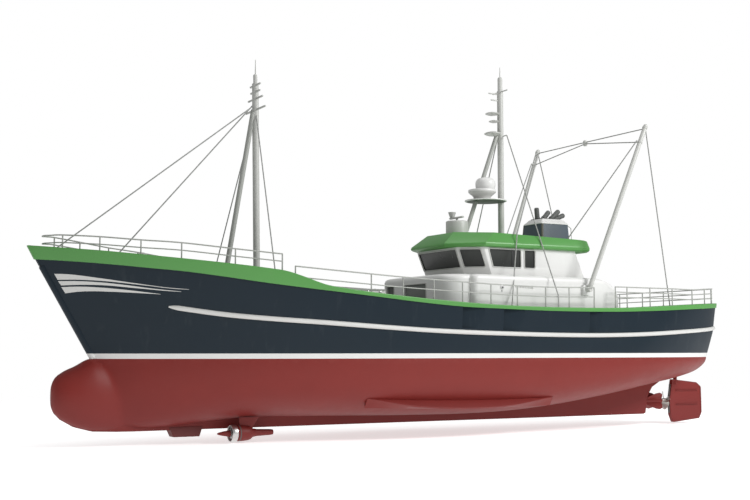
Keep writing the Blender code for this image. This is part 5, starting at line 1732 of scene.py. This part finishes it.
# Stage.


def make_camera():
    data = bpy.data.cameras.new("camera")
    data.sensor_width = 36
    data.lens = 57.15
    data.clip_end = 1000
    camera = bpy.data.objects.new("camera", data)
    camera.location = (31.24, 52.04, 0.38)
    camera.rotation_euler = (radians(94.81), 0, radians(150.29))
    bpy.context.scene.collection.objects.link(camera)
    bpy.context.scene.camera = camera


def add_light(name, place, target, size, energy):
    data = bpy.data.lights.new(name, "AREA")
    data.shape = "RECTANGLE"
    data.size, data.size_y = size
    data.energy = energy
    light = bpy.data.objects.new(name, data)
    light.location = place
    light.rotation_euler = (Vector(target) - Vector(place)).to_track_quat("-Z", "Y").to_euler()
    light.visible_camera = False
    bpy.context.scene.collection.objects.link(light)


def make_world():
    world = bpy.data.worlds.new("studio")
    world.use_nodes = True
    n = Nodes(world.node_tree)
    seen = n.node("ShaderNodeLightPath", output="Is Camera Ray")
    white = n.node("ShaderNodeBackground", inputs={"Color": (1, 1, 1, 1), "Strength": 1.0})
    soft = n.node("ShaderNodeBackground", inputs={"Color": (0.985, 0.99, 1, 1), "Strength": 0.40})
    both = n.node("ShaderNodeMixShader", inputs={0: seen, 1: soft, 2: white})
    n.node("ShaderNodeOutputWorld", inputs={"Surface": both})
    bpy.context.scene.world = world


def make_floor():
    """A pale disc under the keel, its faces up."""
    sides = 64
    form = Form("floor").loft([[Vector((r * cos(a), r * sin(a), FLOOR_Z)) for a in around(sides)]
                               for r in (0.5, 5, 15, 30, 62)], caps=False)
    form.faces.append(list(range(sides)))
    form.kinds.append(0)
    obj = show("floor", form.mesh("floor"))
    for polygon in obj.data.polygons:
        if polygon.normal.z < 0:
            polygon.flip()


class MakeStage(bpy.types.Operator):
    """Pale floor, soft light and the camera"""

    bl_idname = "trawler.stage"
    bl_label = "Stage"

    def execute(self, context):
        scene = context.scene
        scene.view_settings.view_transform = "Standard"
        scene.view_settings.look = "None"
        make_camera()
        make_world()
        add_light("key", (-36, 50, 38), (-4, 0, 2), (24, 18), 33000)
        add_light("top", (6, 0, 60), (0, 0, 3), (40, 30), 9000)
        make_floor()
        return {"FINISHED"}


class TrawlerPanel(bpy.types.Panel):
    """Lists the trawler's sizes, colours and pieces"""

    bl_idname = "VIEW3D_PT_trawler"
    bl_label = "Fishing trawler"
    bl_space_type = "VIEW_3D"
    bl_region_type = "UI"
    bl_category = "Trawler"

    def draw(self, context):
        layout = self.layout
        for group in (context.scene.trawler_sizes, context.scene.trawler_colours):
            column = layout.column()
            for key in type(group).__annotations__:
                column.prop(group, key)
        for operator in OPERATORS:
            layout.operator(operator.bl_idname)


OPERATORS = (MakeStage, MakeHull, MakeBandsAndStripes, MakeUnderwaterGear, MakeDeckhouse, MakeWheelhouse, MakeRoofGear,
             MakeMasts, MakeRigging, MakeRails, MakeDeckGear)
CLASSES = (TrawlerSizes, TrawlerColours, *OPERATORS, TrawlerPanel)


def register():
    for cls in CLASSES:
        bpy.utils.register_class(cls)
    bpy.types.Scene.trawler_sizes = bpy.props.PointerProperty(type=TrawlerSizes)
    bpy.types.Scene.trawler_colours = bpy.props.PointerProperty(type=TrawlerColours)


def unregister():
    del bpy.types.Scene.trawler_colours
    del bpy.types.Scene.trawler_sizes
    for cls in reversed(CLASSES):
        bpy.utils.unregister_class(cls)


def main():
    register()
    for operator in OPERATORS:
        group, name = operator.bl_idname.split(".")
        getattr(getattr(bpy.ops, group), name)()


if __name__ == "__main__":
    main()
